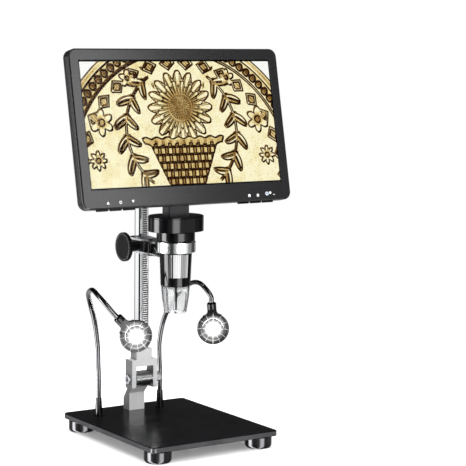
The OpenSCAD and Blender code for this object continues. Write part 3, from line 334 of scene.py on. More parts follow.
def satin(name, colour, painted_side_shade, along, polished_above=None):
    """Bead-blasted and drawn metal, too matt to mirror anything; its two side faces get a darker colour,
    painted shade.
    """
    g = Graph(name)
    streaks = g.streaks(along, 900.0, 14.0)
    # The faces turned to +X and -X take the darker colour: painted shade.
    side_shade_mask = g.facing(0).step(0.6, 0.85)
    front = g.ramp(streaks, [(0.3, tinted(colour, 0.93)), (0.7, tinted(colour, 1.03))])
    side = g.ramp(streaks, [(0.3, tinted(painted_side_shade, 0.85)), (0.7, tinted(painted_side_shade, 1.1))])
    matt = g.ramp(streaks, [(0.3, 0.42), (0.7, 0.5)])
    g.set(Base_Color=g.mix(side_shade_mask, front, side), Metallic=0.12, Specular_IOR_Level=0.2, Roughness=matt)
    if polished_above is not None:
        knuckle = (g.axes()[2] / MM).step(polished_above, polished_above + 1.0) * side_shade_mask.inverse()
        g.set(Metallic=knuckle * 0.9 + 0.1, Roughness=g.mix(knuckle, matt, 0.26))
    g.bump(streaks, 0.008 * MM)
    return g.material


def edged_chrome(name, colour, rough, edge):
    """Chrome on the square column; a strip edge millimetres wide along its corners is painted dark, a painted
    reflection of the dark surroundings.
    """
    g = Graph(name)
    streaks = g.streaks(2, 1500.0, 18.0)
    x, y, _ = g.axes()
    x, y = (x / MM).abs() - COLUMN_HALF, (y / MM - COLUMN_Y).abs() - COLUMN_HALF
    # Painted reflection: the dark strip along the column's corners.
    painted_edge_reflection = x.step(-0.1 - edge, -edge).min(y.step(-3.4 * edge, -2.4 * edge))
    metal = g.ramp(streaks, [(0.3, tinted(colour, 0.95)), (0.7, colour)])
    g.set(Base_Color=g.mix(painted_edge_reflection, metal, 0.03), Metallic=1.0,
          Roughness=g.ramp(streaks, [(0.3, rough * 0.8), (0.7, rough * 1.25)]))
    g.bump(streaks, 0.001 * MM)
    return g.material


def turned(name, colour, rough):
    """Metal turned on a lathe round a vertical axis: fine rings."""
    g = Graph(name)
    rings = g.noise(1.0, 3, 0.6, g.stretched((25.0, 25.0, 2600.0)))
    g.set(Base_Color=g.ramp(rings, [(0.3, tinted(colour, 0.9)), (0.7, colour)]),
          Roughness=g.ramp(rings, [(0.3, rough * 0.8), (0.7, rough * 1.3)]), Metallic=1.0)
    g.bump(rings, 0.004 * MM)
    return g.material


def clear_plastic(name, colour, rough, ior):
    """Moulded clear plastic with faint flow marks."""
    g = Graph(name)
    g.set(Base_Color=g.ramp(g.noise(45, 2), [(0.3, tinted(colour, 0.98)), (0.7, colour)]),
          Roughness=g.ramp(g.noise(120, 3), [(0.3, rough * 0.5), (0.7, rough * 1.5)]),
          Transmission_Weight=1.0, IOR=ior)
    g.bump(g.noise(110, 2), 0.008 * MM)
    return g.material


def thick_plastic(name):
    """Clear moulded plastic, milky where it faces the viewer and dark where it is seen edge on: painted shade
    along its outline.
    """
    g = Graph(name)
    edge_on_shade = g.node("LayerWeight", "Facing", Blend=0.5)
    flow = g.noise(60, 3)
    turn = g.round_the_tube() / (2 * math.pi) + 0.5
    split = largest([(turn - at).abs().step(0.018, 0.009) for at in TIP_MOULD_LINES])
    # Painted shade: the colour turns dark where the surface is seen edge on.
    clear = g.ramp(edge_on_shade, [(0.0, (0.985, 0.99, 0.995)), (0.46, (0.96, 0.965, 0.97)),
                             (0.58, (0.16, 0.165, 0.17)), (0.7, (0.004, 0.004, 0.006))])
    g.set(Base_Color=g.mix(split, clear, (0.06, 0.06, 0.065)), Transmission_Weight=0.75, IOR=1.22,
          Roughness=g.ramp(flow, [(0.3, 0.05), (0.7, 0.12)]), Specular_IOR_Level=0.3)
    g.bump(flow, 0.02 * MM)
    return g.material


def painted_window_reflection(name):
    """Window on the barrel whose painted reflection is bright, with upright dark stripes, and darker on its
    left.
    """
    g = Graph(name)
    turn = g.round_the_tube(-1.0) * (180 / math.pi) + WINDOW_TURN
    place = (turn - WINDOW_FIRST) / WINDOW_SPAN
    # Painted reflection: brightness by the angle round the tube, with dark upright stripes on its left.
    field = g.ramp(place, [(0.0, 0.10), (0.17, 0.16), (0.28, 0.36), (0.34, 0.66), (0.60, 0.68),
                           (0.66, 0.24), (0.86, 0.25), (0.95, 0.44)])
    lines = (turn * 0.69).cos().step(-0.5, 0.6)
    left = place.step(0.36, 0.28)
    fine = (turn * 0.85).cos().step(-1.0, 1.0) * 0.4
    g.set(Base_Color=g.mix(lines * left * 0.93 + fine * place.step(0.22, 0.4), field, 0.0),
          Roughness=g.ramp(g.noise(1.0, 3, 0.6, g.stretched((900.0, 900.0, 9.0))),
                           [(0.3, 0.3), (0.7, 0.42)]), Specular_IOR_Level=0.12)
    g.bump(fine + lines * left, 0.03 * MM)
    return g.material


def knob_face(name):
    """Black gloss knob with a turned rim, painted lighter as a painted highlight."""
    g = Graph(name)
    _, y, z = g.axes()
    r = length(y - KNOB_MIDDLE.y, z - KNOB_MIDDLE.z) / MM
    marks = g.noise(60, 5, 0.6)
    # The rim's lighter colour is a painted highlight.
    rim = r.step(KNOB_RIM[0], KNOB_RIM[0] + 0.6) * r.step(KNOB_RIM[1], KNOB_RIM[1] - 0.5)
    g.set(Base_Color=g.mix(rim, g.ramp(marks, [(0.3, 0.004), (0.7, 0.007)]), 0.05), Specular_IOR_Level=0.05,
          Roughness=g.ramp(marks, [(0.35, 0.07), (0.65, 0.12)]))
    g.bump((r * 7.0).cos(), 0.004 * MM)
    return g.material


def geared(name, colour, rough):
    """Cut steel, darker between the teeth: grease and painted shade in the tooth roots."""
    g = Graph(name)
    depth = (g.axes()[1] - RACK_TIP_Y) / MM
    streaks = g.streaks(0, 900.0, 18.0)
    # The tooth roots are darkened, partly grease and partly painted shade.
    oil_and_root_shade = depth.step(0.25, 0.95) * depth.step(TOOTH_DEPTH, TOOTH_DEPTH - 0.18)
    steel = g.ramp(streaks, [(0.3, tinted(colour, 0.86)), (0.7, colour)])
    g.set(Base_Color=g.mix(oil_and_root_shade, steel, (0.03, 0.029, 0.027)), Metallic=0.35, Specular_IOR_Level=0.3,
          Roughness=g.ramp(streaks, [(0.3, rough * 0.8), (0.7, rough * 1.25)]))
    g.bump(streaks, 0.006 * MM)
    return g.material


def round_the_lamp(g, side):
    """A point's place in a lamp's own frame, in millimetres: across, backwards and along its neck."""
    turn = lamp_frame(LAMPS[side])
    local = g.vector_op("SUBTRACT", g.coords, turn.translation)
    axes = (turn.to_3x3() @ Vector(axis) / MM for axis in ((1, 0, 0), (0, 1, 0), (0, 0, 1)))
    return [Signal(g.tree, g.vector_op("DOT_PRODUCT", local, axis, "Value")) for axis in axes]


STAR = ((4, 0.8), (35, 0.4), (66, 0.45), (95, 0.55), (128, 0.4), (156, 0.45))  # degrees, half width in mm
STAR_REACH = 19.0
LAMP_WHITE = (1.0, 0.995, 0.98)


def painted_star(across, up, r):
    """Painted glare of thin rays, as a strong lamp throws them on the metal round it."""
    rays = []
    for degrees, width in STAR:
        a = math.radians(degrees)
        off = (across * math.cos(a) - up * math.sin(a)).abs()
        rays.append(off.step(width, width * 0.15) * r.step(STAR_REACH, STAR_REACH - 5.0))
    return largest(rays)


def lamp_optic(side):
    """A lamp's moulded optic: glowing in the middle, darker towards the rim."""
    g = Graph("lamp_optic_" + side)
    across, _, up = round_the_lamp(g, side)
    r = length(across, up)
    rings = (r * 2.6).cos()
    # The rays of glare are painted light, drawn over the lamp's own glow.
    glow = r.step(11.5, 4.5) + painted_star(across, up, r) * 0.6
    g.set(Base_Color=g.ramp(r / 11.0, [(0.0, 0.5), (0.5, 0.2), (1.0, 0.06)]), Roughness=0.35,
          Specular_IOR_Level=0.1,
          Emission_Color=g.ramp(glow + rings * 0.03,
                                [(0.0, 0.06), (0.3, 0.3), (0.6, 0.75), (0.8, 1.0), (1.0, LAMP_WHITE)]),
          Emission_Strength=1.2)
    g.bump(rings, 0.05 * MM)
    return g.material


def lamp_dish(side):
    """Dark turned chrome of a lamp's shell, with light painted on it as emission: a glow from the lamp that
    it holds, a broad highlight in two sectors, rays of glare and curved glints.
    """
    g = Graph("lamp_dish_" + side)
    across, back, up = round_the_lamp(g, side)
    r = length(across, up)
    turning = g.noise(1.0, 3, 0.6, g.stretched((700.0, 700.0, 700.0)))
    painted_sweep_highlight = (across.op("ARCTAN2", up) * 2.0 - 0.9).cos().step(-0.6, 1.0) * r.step(17.5, 12.0)
    painted_arc_glints = (r - 12.6).abs().step(0.6, 0.2) * (across * 0.5 + up).abs().step(4.0, 9.0)
    # All of this glow is painted light; the shell is no lamp.
    glow = r.step(15.5, 9.0) * 0.5 + painted_sweep_highlight * 0.3 + painted_star(across, up, r) * 0.8 + painted_arc_glints * 0.35
    glow = glow * back.step(0.2, -0.4)
    g.set(Base_Color=g.ramp(turning, [(0.3, 0.02), (0.7, 0.035)]), Metallic=1.0,
          Roughness=g.ramp(turning, [(0.3, 0.13), (0.7, 0.2)]),
          Emission_Color=g.ramp(glow, [(0.0, 0.0), (0.2, 0.07), (0.5, 0.3), (1.0, LAMP_WHITE)]),
          Emission_Strength=0.9)
    g.bump((r * 5.0).cos(), 0.045 * MM)
    return g.material


def circuit_board(name):
    """Green solder mask with copper tracks, pads and vias."""
    g = Graph(name)
    tracks = g.node("TexBrick", "Fac", Vector=g.coords, Scale=160.0)
    pads = g.node("TexVoronoi", "Distance", Vector=g.coords, Scale=320.0)
    mask = g.ramp(tracks, [(0.0, (0.01, 0.10, 0.045)), (1.0, (0.02, 0.17, 0.08))])
    g.set(Base_Color=g.mix(g.ramp(pads, [(0.10, 1.0), (0.14, 0.0)]), mask, (0.75, 0.6, 0.3)),
          Roughness=g.ramp(g.noise(200), [(0.3, 0.25), (0.7, 0.4)]))
    g.bump(tracks, 0.03 * MM)
    return g.material


def foil(name, colour):
    """Shrink-wrapped foil with soft creases."""
    g = Graph(name)
    creases = g.noise(70, 5, 0.7)
    g.set(Base_Color=g.ramp(creases, [(0.3, tinted(colour, 0.8)), (0.7, tinted(colour, 1.1))]),
          Roughness=g.ramp(creases, [(0.3, 0.25), (0.7, 0.45)]), Metallic=0.6)
    g.bump(creases, 0.25 * MM)
    return g.material


def light_source(name, colour, strength, spots=420.0):
    """A lit surface with brighter chips, as an LED board has them."""
    g = Graph(name)
    chips = g.node("TexVoronoi", "Distance", Vector=g.coords, Scale=spots)
    lit = g.ramp(chips, [(0.15, colour), (0.5, tinted(colour, 0.82))])
    g.set(Base_Color=grey(0.8), Emission_Color=lit, Emission_Strength=strength, Roughness=0.4)
    g.bump(chips, 0.1 * MM)
    return g.material


COIN_MIDDLE, BASKET_TOP, LAUREL_Y, SUNFLOWER_Y = -0.45, -0.14, -0.06, 0.13
WEAVE_ROWS, WEAVE_COLUMNS = 16.0, 15.0
PETALS, LEAVES = 8.0, 20.0  # half the petals in a row, and the leaves in a full turn
BEADS, LOZENGES = 90, 34
FLOWERS = ((0.74, 0.02, 0.11, 6), (0.47, 0.37, 0.075, 5), (0.80, -0.28, 0.08, 8))  # place, size, petals


def coin_relief(x, y):
    """Height and shade of an imagined coin; the unit is the picture's height, the origin its middle."""
    below = y - COIN_MIDDLE
    r = length(x, below)
    turn = x.op("ARCTAN2", below) / (2 * math.pi)

    def ring(at, half, soft=0.005):
        return (r - at).abs().step(half + soft, half - soft)

    def round_the_rim(count, at):
        return (turn * count).cell() * (2 * math.pi * at / count), r - at

    # the rim: rings, a row of beads and a row of hatched lozenges
    height = ring(1.17, 0.028) * 0.9
    shade = ring(1.17, 0.012) * 0.35
    u, w = round_the_rim(BEADS, 1.092)
    bead = length(u, w)
    height = height.max(bead.step(0.037, 0.022))
    shade = shade.max(bead.step(0.030, 0.012) * 0.5) + r.step(1.05, 1.06) * r.step(1.15, 1.13) * 0.22
    height = height.max(ring(1.035, 0.008) * 0.8)
    u, w = round_the_rim(LOZENGES, 0.945)
    lozenge = u.abs() / 0.068 + w.abs() / 0.056
    height = height.max((lozenge - 0.85).abs().step(0.26, 0.12) * 0.9)
    shade = shade.max(lozenge.step(0.75, 0.62) * (((x + y) * 230.0).cos() * 0.2 + 0.42))

    # a sunflower, its petals in two rows
    up = y - SUNFLOWER_Y
    d = length(x, up)
    angle = x.op("ARCTAN2", up)
    outer = (angle * PETALS).cos().abs() * 0.08 + 0.225 - d
    inner = (angle * PETALS + math.pi / 2).cos().abs() * 0.06 + 0.165 - d
    vein = (angle * PETALS * 2.0).cos().abs().step(0.0, 0.5) * 0.4 + 0.5
    petals = outer.step(-0.004, 0.01) * vein * 0.7
    petals = petals.max(inner.step(-0.004, 0.01) * vein)
    petals = petals.max((d - 0.11).abs().step(0.016, 0.006))
    seeds = ((x + up) * 130.0).cos() * ((x - up) * 130.0).cos()
    petals = petals.max(d.step(0.102, 0.094) * (seeds.step(-0.3, 0.5) * 0.75 + 0.15))
    height = height.max(petals)
    shade = shade.max(d.step(0.104, 0.09) * 0.4).max(outer.step(0.0, 0.01) * d.step(0.24, 0.11) * 0.36)

    # the basket that it stands in, woven of flat canes, with a scalloped rim
    depth = y - BASKET_TOP
    flank = depth * 0.45 + 0.33 - x.abs()
    inside = flank.step(0.0, 0.006) * depth.step(0.006, 0.0)
    rows = (y * WEAVE_ROWS).op("FLOOR")
    over = (x * WEAVE_COLUMNS + rows * 0.5).cell().abs().step(0.16, 0.24)
    cane = (y * WEAVE_ROWS).cell().abs().step(0.46, 0.36)
    basket = inside * (over * 0.55 + cane * 0.35 + 0.05)
    rim = (depth + (x * 62.0).cos() * 0.008).abs().step(0.030, 0.022) * flank.step(-0.05, -0.04)
    height = (height * inside.inverse()).max(basket).max(rim)
    hatch = (x * 300.0).cos() * 0.22 + 0.5
    shade = (shade * inside.inverse()).max(inside * (over * -0.28 + 0.62) * (hatch * 0.6 + 0.6))
    shade = shade.max(rim * 0.3)

    # two laurel branches round it, their leaves leaning outwards
    out = y - LAUREL_Y
    dl = length(x, out)
    side = x.abs().op("ARCTAN2", out) / (2 * math.pi)
    u = (side * LEAVES).cell() * (math.pi / LEAVES)
    opening = side.step(0.085, 0.10) * side.step(0.40, 0.385)
    for at, lean in ((0.56, 1.0), (0.48, -1.0)):
        w = dl - at
        lean_u, lean_w = u * 0.62 + w * (0.78 * lean), w * 0.62 - u * (0.78 * lean)
        leaf = length(lean_u / 0.09, lean_w / 0.032).step(1.05, 0.8) * opening
        height = height.max(leaf * (lean_w.abs().step(0.001, 0.007) * 0.6 + 0.35))
        shade = shade.max(leaf * lean_w.step(0.004, -0.004) * 0.42)
    height = height.max((dl - 0.52).abs().step(0.011, 0.005) * opening * 0.8)

    # flowers in the field, mirrored about the middle
    for place_x, place_y, size, count in FLOWERS:
        fx, fy = x.abs() - place_x, y - place_y
        fd = length(fx, fy)
        flower = ((fx.op("ARCTAN2", fy) * (count / 2)).cos().abs() * 0.5 + 0.5) * size - fd
        height = height.max(flower.step(-0.003, 0.008) * (fd.step(size * 0.22, size * 0.3) * 0.5 + 0.5))
        shade = shade.max(flower.step(0.0, 0.02) * fd.step(size * 0.7, size * 0.2) * 0.45)
    return height, shade


COIN_GRAINS = ((9, 5, 0.6), (105, 3, 0.75), (3.2, 3, 0.6))  # scale, detail and roughness of its noises
RELIEF_SHIFT = 0.0105  # how far apart two heights are compared, which sets the outlines' width
RIGHT_EDGE = 0.011  # the lit picture's overhang on its right, in picture heights


def display(name):
    """A lit display: a magnified coin with an invented design, a basket with a sunflower."""
    g = Graph(name)
    upright = g.tree.nodes.new("ShaderNodeVectorRotate")
    upright.rotation_type = "X_AXIS"
    upright.inputs["Angle"].default_value = SCREEN_LEAN - math.pi / 2
    g.link(g.vector_op("SUBTRACT", g.coords, SCREEN_MIDDLE), upright.inputs["Vector"])
    local = g.vector_op("MULTIPLY", upright.outputs[0], (1 / PICTURE_H,) * 3)
    x, y, _ = g.axes(local)
    coarse, pits, stains = (Signal(g.tree, g.noise(*grain, local)) for grain in COIN_GRAINS)
    here, shade = coin_relief(x, y)
    right = here - coin_relief(x + RELIEF_SHIFT, y)[0]
    above = here - coin_relief(x, y + RELIEF_SHIFT)[0]
    outline = length(right, above).step(0.04, 0.34)
    lit = (above - right) * 0.2
    tone = (lit + 0.97 + (stains - 0.5) * 0.4 + (coarse - 0.5) * 0.7 - pits.step(0.44, 0.30) * 0.6
            - outline * 0.9 - shade * 0.95)
    gold = g.ramp(tone, [(0.0, (0.018, 0.004, 0.0002)), (0.2, (0.085, 0.032, 0.004)),
                         (0.36, (0.25, 0.13, 0.028)), (0.52, (0.46, 0.285, 0.09)),
                         (0.68, (0.74, 0.56, 0.22)), (0.84, (0.93, 0.82, 0.44)), (1.0, (1.0, 0.94, 0.64))])
    outside = length(x, y - COIN_MIDDLE).step(1.198, 1.205)
    table = g.ramp(pits, [(0.3, (0.93, 0.93, 0.89)), (0.7, (1, 1, 0.98))])
    past_edge = (x - (PICTURE_HALF_W + RIGHT_EDGE)).max(x * -1.0 - PICTURE_HALF_W).max(y.abs() - 0.5)
    lit_picture = g.mix(past_edge.step(-0.0005, 0.0005), g.mix(outside, gold, table), 0.0)
    g.set(Base_Color=grey(0.004), Roughness=0.5, Specular_IOR_Level=0.0, Emission_Color=lit_picture,
          Emission_Strength=1.0)
    return g.material


BLACK = (0.007, 0.007, 0.008)
PLATE_BLACK = (0.0042, 0.0042, 0.0048)
TUBE_BLACK = (0.0025, 0.0025, 0.003)
DARK_GREY = (0.011, 0.011, 0.012)
ALUMINIUM = (0.80, 0.81, 0.83)
STEEL = (0.78, 0.78, 0.79)
CHROME = (0.90, 0.91, 0.92)

# The plate's lighter edge colour is a painted reflection on its side faces.
plate_lacquer = lacquer("plate_lacquer", PLATE_BLACK, 0.2, peel=0.006, shine=0.4, edge=(0.037, 0.037, 0.039))
foot_gloss = anodised("foot_gloss", (0.045, 0.045, 0.047), 0.14, 1.0)
tube_gloss = lacquer("tube_gloss", TUBE_BLACK, 0.09, peel=0.004)
knob_gloss = lacquer("knob_gloss", TUBE_BLACK, 0.14)
button_gloss = lacquer("button_gloss", (0.003, 0.003, 0.003), 0.2, shine=0.08)
housing_plastic = grained("housing_plastic", DARK_GREY, 0.25)
rear_plastic = grained("rear_plastic", BLACK, 0.4, shine=0.22)
black_metal = anodised("black_metal", (0.03, 0.03, 0.032), 0.34, 0.55)
collar_metal = anodised("collar_metal", (0.04, 0.04, 0.042), 0.14, 1.0)
satin_upright = brushed("satin_upright", ALUMINIUM, 0.3, 2)
satin_plate = brushed("satin_plate", ALUMINIUM, 0.26, 1)
polished_column = edged_chrome("polished_column", CHROME, 0.09, 0.75)
# The second colour of these two is painted shade on their side faces.
post_metal = satin("post_metal", (0.57, 0.57, 0.575), (0.13, 0.13, 0.133), 2, PIVOT_Z - 10.0)
clevis_metal = satin("clevis_metal", (0.52, 0.52, 0.525), (0.15, 0.15, 0.153), 1)
nut_steel = anodised("nut_steel", (0.42, 0.42, 0.43), 0.35, 0.7)
rack_steel = geared("rack_steel", STEEL, 0.3)
screw_steel = anodised("screw_steel", (0.55, 0.56, 0.58), 0.3, 1.0)
screw_black = anodised("screw_black", (0.05, 0.05, 0.055), 0.32, 0.9)
ring_silver = turned("ring_silver", CHROME, 0.16)
neck_chrome = anodised("neck_chrome", (0.075, 0.075, 0.078), 0.12, 1.0)
tip_plastic = thick_plastic("tip_plastic")
cover_glass = clear_plastic("cover_glass", (0.98, 0.985, 0.985), 0.015, 1.12)
lens_glass = clear_plastic("lens_glass", (0.92, 0.95, 0.98), 0.02, 1.52)
board_green = circuit_board("board_green")
battery_foil = foil("battery_foil", (0.45, 0.47, 0.5))
lamp_light = light_source("lamp_light", (1.0, 0.99, 0.96), 9.0)
pilot_light = light_source("pilot_light", (0.01, 0.05, 0.12), 0.5, 900.0)
icon_blue = light_source("icon_blue", (0.06, 0.28, 0.62), 0.9, 900.0)
housing_mark = grained("housing_mark", (0.42, 0.42, 0.43), 0.5, 0.005)
icon_white = grained("icon_white", (0.92, 0.92, 0.93), 0.5, 0.005)
picture = display("display_picture")


# ------------------------------------------------------------------ pieces from the CAD's own shapes


def finish_mesh(obj, material, body, sharp=32.0):
    """Gives a new piece its material and body.

    It is shaded smoothly but for edges sharper than so many degrees, or keeps its normals where that is None.
    """
    mesh = obj.data
    mesh.materials.clear()
    mesh.materials.append(material)
    if sharp:
        mesh.shade_smooth()
        mesh.set_sharp_from_angle(angle=math.radians(sharp))
    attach(obj, body)
    return obj


def new_object(name, mesh):
    obj = bpy.data.objects.new(name, mesh)
    bpy.context.scene.collection.objects.link(obj)
    return obj


def applied(obj):
    """Replaces the object's mesh by what its modifiers make of it."""
    depsgraph = bpy.context.evaluated_depsgraph_get()
    mesh = bpy.data.meshes.new_from_object(obj.evaluated_get(depsgraph))
    obj.modifiers.clear()
    obj.data = mesh


WELDED_BELOW = 0.001 * MM
FLAT_BELOW, EDGE_ABOVE = math.radians(0.6), math.radians(28.0)
NODE_BODY = {n: b for b, members in frame["record"]["behaviour"]["bodies"].items() for n in members}


def soften(node, width, material):
    """A new piece in a CAD node's place, its edges rounded by width in millimetres."""
    bm = bmesh.new()
    bm.from_mesh(frame["nodes"][node].data)
    bmesh.ops.remove_doubles(bm, verts=bm.verts, dist=WELDED_BELOW)
    bmesh.ops.dissolve_limit(bm, angle_limit=FLAT_BELOW, verts=bm.verts, edges=bm.edges)
    mesh = bpy.data.meshes.new(node + "_piece")
    bm.to_mesh(mesh)
    bm.free()
    mesh.shade_smooth()
    obj = new_object(node + "_piece", mesh)
    bevel = obj.modifiers.new("edges", "BEVEL")
    bevel.width = width * MM
    bevel.segments = 3
    bevel.limit_method = "ANGLE"
    bevel.angle_limit = EDGE_ABOVE
    bevel.miter_outer = "MITER_ARC"
    weighted = obj.modifiers.new("normals", "WEIGHTED_NORMAL")
    weighted.weight = 100
    applied(obj)
    finish_mesh(obj, material, NODE_BODY[node], None)
    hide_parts(node)


def dress(node, material):
    """A CAD node that keeps its mesh and gets a better material."""
    mesh = frame["nodes"][node].data
    mesh.materials.clear()
    mesh.materials.append(material)


SOFTENED = {
    "base_plate": (0.35, plate_lacquer), "feet": (0.25, foot_gloss), "foot_screws": (0.2, screw_steel),
    "foot_post": (0.35, post_metal), "post_screws": (0.2, screw_steel),
    "neck_collars": (0.3, collar_metal), "clevis": (0.4, clevis_metal),
    "pivot_bolt": (0.3, screw_steel), "pivot_nut": (0.2, nut_steel),
    "column_cap": (0.2, knob_gloss), "carriage_sleeve": (0.25, satin_upright),
    "carriage_body": (0.4, black_metal), "pinion_bush": (0.15, black_metal),
    "arm_plates": (0.2, satin_plate), "arm_spacers": (0.3, knob_gloss),
    "carriage_screws": (0.15, screw_black), "clamp_ring": (0.4, ring_silver),
    "barrel": (0.3, tube_gloss), "head_shell": (0.35, tube_gloss),
    "head_cap": (0.3, tube_gloss), "stem": (0.35, black_metal),
    "focus_knob": (0.35, knob_face("knob_face")), "focus_ring": (0.35, tube_gloss),
    "screen_bezel": (0.45, housing_plastic), "screen_back": (0.35, rear_plastic),
    "screen_bracket": (0.3, screw_steel), "hinge_pin": (0.3, screw_steel),
    "screen_screws": (0.12, screw_steel), "port_sockets": (0.15, screw_steel),
    "lamp_shell_left": (0.25, lamp_dish("left")), "lamp_shell_right": (0.25, lamp_dish("right")),
    "battery": (0.6, battery_foil),
    **{"button_" + use: (0.35, button_gloss) for use in ("up", "ok", "down", "home", "menu", "power")},
}
for node_name, (edge_width, node_material) in SOFTENED.items():
    soften(node_name, edge_width, node_material)

KEPT = {
    "column": polished_column, "rack": rack_steel, "pinion": rack_steel,
    "barrel_window": painted_window_reflection("window_painted_reflection"), "image_sensor": board_green, "clear_tip": tip_plastic,
    "lens_nozzle": black_metal, "led_ring": board_green, "lens_cell": black_metal,
    "cell_lenses": lens_glass, "screen_glass": cover_glass, "lcd_panel": picture,
    "main_board": board_green, "button_boards": board_green, "indicator_lens": pilot_light,
    "lamp_led_left": lamp_light, "lamp_led_right": lamp_light,
    "lamp_lens_left": lamp_optic("left"), "lamp_lens_right": lamp_optic("right"),
}
for node_name, node_material in KEPT.items():
    dress(node_name, node_material)


# ------------------------------------------------------------------ goosenecks


ABOVE_COLLAR = (-12, 2)  # where the neck leaves its collar, straight up
BEYOND_SOCKET = (6, 0.5, -9)  # where it enters the lamp's socket, along the socket
SPLINE_STEPS = 12
NECK_SIDES = 24
RING_GAP = 0.32 * MM
RIBS = [depth * MM for depth in (0.0, 0.02, 0.03, 0.02)]  # depth of each ring below the skin
RINGS_IN_COLLAR, RINGS_IN_LAMP = 34, 30  # smooth ends, where the neck sits in its fittings


def spline(points, steps):
    """Smooth curve through the points, as in the CAD source."""
    curve = []
    for i in range(len(points) - 1):
        a, b = points[max(i - 1, 0)], points[i]
        c, d = points[i + 1], points[min(i + 2, len(points) - 1)]
        for k in range(steps):
            t = k / steps
            curve.append(0.5 * (2 * b + (c - a) * t + (2 * a - 5 * b + 4 * c - d) * t ** 2
                                + (3 * b - a - 3 * c + d) * t ** 3))
    return curve + [points[-1]]


def spaced(points, gap):
    """Points at even distances along a polyline."""
    out, left = [points[0]], gap
    for a, b in zip(points, points[1:]):
        span = (b - a).length
        at = left
        while at <= span:
            out.append(a.lerp(b, at / span))
            at += gap
        left = at - span
    return out + [points[-1]]


def gooseneck(side):
    """Flexible neck: a tube with a wound, ribbed skin between its collar and its lamp."""
    lamp = LAMPS[side]
    up = lamp_frame(lamp).to_3x3() @ Vector((0, 0, 1))
    route = [in_stand(p) for p in lamp["route"]]
    place = in_stand(lamp["place"])
    bend = [Vector((route[0].x, route[0].y, COLLAR_TOP + h)) for h in ABOVE_COLLAR]
    bend += route + [place + up * (SOCKET_REACH + h) for h in BEYOND_SOCKET]
    path = spaced([p * MM for p in spline(bend, SPLINE_STEPS)], RING_GAP)
    bm = bmesh.new()
    rings = []
    reference = Vector((1, 0, 0))
    for i, p in enumerate(path):
        along = (path[min(i + 1, len(path) - 1)] - path[max(i - 1, 0)]).normalized()
        across = along.cross(reference).normalized()
        third = across.cross(along)
        in_fitting = i < RINGS_IN_COLLAR or i > len(path) - RINGS_IN_LAMP
        r = GOOSE_R - (0 if in_fitting else RIBS[i % len(RIBS)])
        rings.append([bm.verts.new(p + r * (math.cos(t) * across + math.sin(t) * third))
                      for t in (2 * math.pi * k / NECK_SIDES for k in range(NECK_SIDES))])
    for lower, upper in zip(rings, rings[1:]):
        for k in range(NECK_SIDES):
            n = (k + 1) % NECK_SIDES
            bm.faces.new((lower[k], lower[n], upper[n], upper[k]))
    bm.faces.new(list(reversed(rings[0])))
    bm.faces.new(rings[-1])
    bmesh.ops.recalc_face_normals(bm, faces=bm.faces)
    mesh = bpy.data.meshes.new("neck_" + side + "_skin")
    bm.to_mesh(mesh)
    bm.free()
    node = "neck_" + side
    obj = finish_mesh(new_object(node + "_skin", mesh), neck_chrome, node, 60)
    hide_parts(node)


for lamp_side in LAMPS:
    gooseneck(lamp_side)


# ------------------------------------------------------------------ printed symbols on the housing


MARK_SUNK, MARK_PROUD = 0.02, 0.04  # below and above the housing's front, in millimetres


def symbol(name, loops, x, v, material=icon_white):
    """Flat mark on the housing's front, drawn by closed loops of points in millimetres."""
    bm = bmesh.new()
    for loop in loops:
        low, high = ([bm.verts.new((px, py, h)) for px, py in loop] for h in (-MARK_SUNK, MARK_PROUD))
        bm.faces.new(low)
        bm.faces.new(high)
        for k in range(len(loop)):
            bm.faces.new((low[k - 1], low[k], high[k], high[k - 1]))
    bmesh.ops.recalc_face_normals(bm, faces=bm.faces)
    mesh = bpy.data.meshes.new(name)
    bm.to_mesh(mesh)
    bm.free()
    mesh.transform(SCREEN_FRAME @ Matrix.Translation(Vector((x, v, 0)) * MM) @ Matrix.Scale(MM, 4))
    finish_mesh(new_object(name, mesh), material, "screen")


def arc(r, start, end, count):
    """Points along an arc, its angles in degrees."""
    return [(r * math.cos(math.radians(start + (end - start) * k / count)),
             r * math.sin(math.radians(start + (end - start) * k / count))) for k in range(count + 1)]


def band(r0, r1, start=0, end=360, count=32):
    """Quads of a ring or of a part of one."""
    inner, outer = arc(r0, start, end, count), arc(r1, start, end, count)
    return [(inner[k], outer[k], outer[k + 1], inner[k + 1]) for k in range(count)]


def bar(x0, y0, x1, y1):
    return [(x0, y0), (x1, y0), (x1, y1), (x0, y1)]


triangle = [(-1.5, -1.3), (1.5, -1.3), (0, 1.5)]
roof = [(-1.8, 0.1), (1.8, 0.1), (0, 1.7)]
symbol("mark_up", [triangle], -95.8, -77.4)
symbol("mark_down", [[(-px, -py) for px, py in triangle]], -67.5, -77.0)
symbol("mark_ring", band(0.95, 1.5), -81.7, -77.4)
symbol("mark_home", [roof, bar(-1.2, -1.5, -0.4, 0.1), bar(0.4, -1.5, 1.2, 0.1)], 70.8, -77.4)
symbol("mark_menu", [bar(-1.4, h, 1.4, h + 0.55) for h in (-1.3, -0.3, 0.7)], 81.4, -77.5)
symbol("mark_power", band(1.15, 1.85, 115, 425, 28) + [bar(-0.3, 0.4, 0.3, 2.1)], 92.9, -76.3, icon_blue)
symbol("mark_key", band(0.0, 0.75, 0, 360, 20) + [bar(0.5, -0.25, 1.6, 0.25)], 101.3, -77.6, housing_mark)


# ------------------------------------------------------------------ floor, light and camera


FLOOR_R = 1.1
FLOOR_FADE = (0.3, 0.75)  # where the floor begins to fade out, and where it is gone
HIDDEN_FROM_GLOSS = 0.8  # how much of it polished surfaces don't see
FLOOR_LIFT = 0.15  # how much white is mixed into its shadows


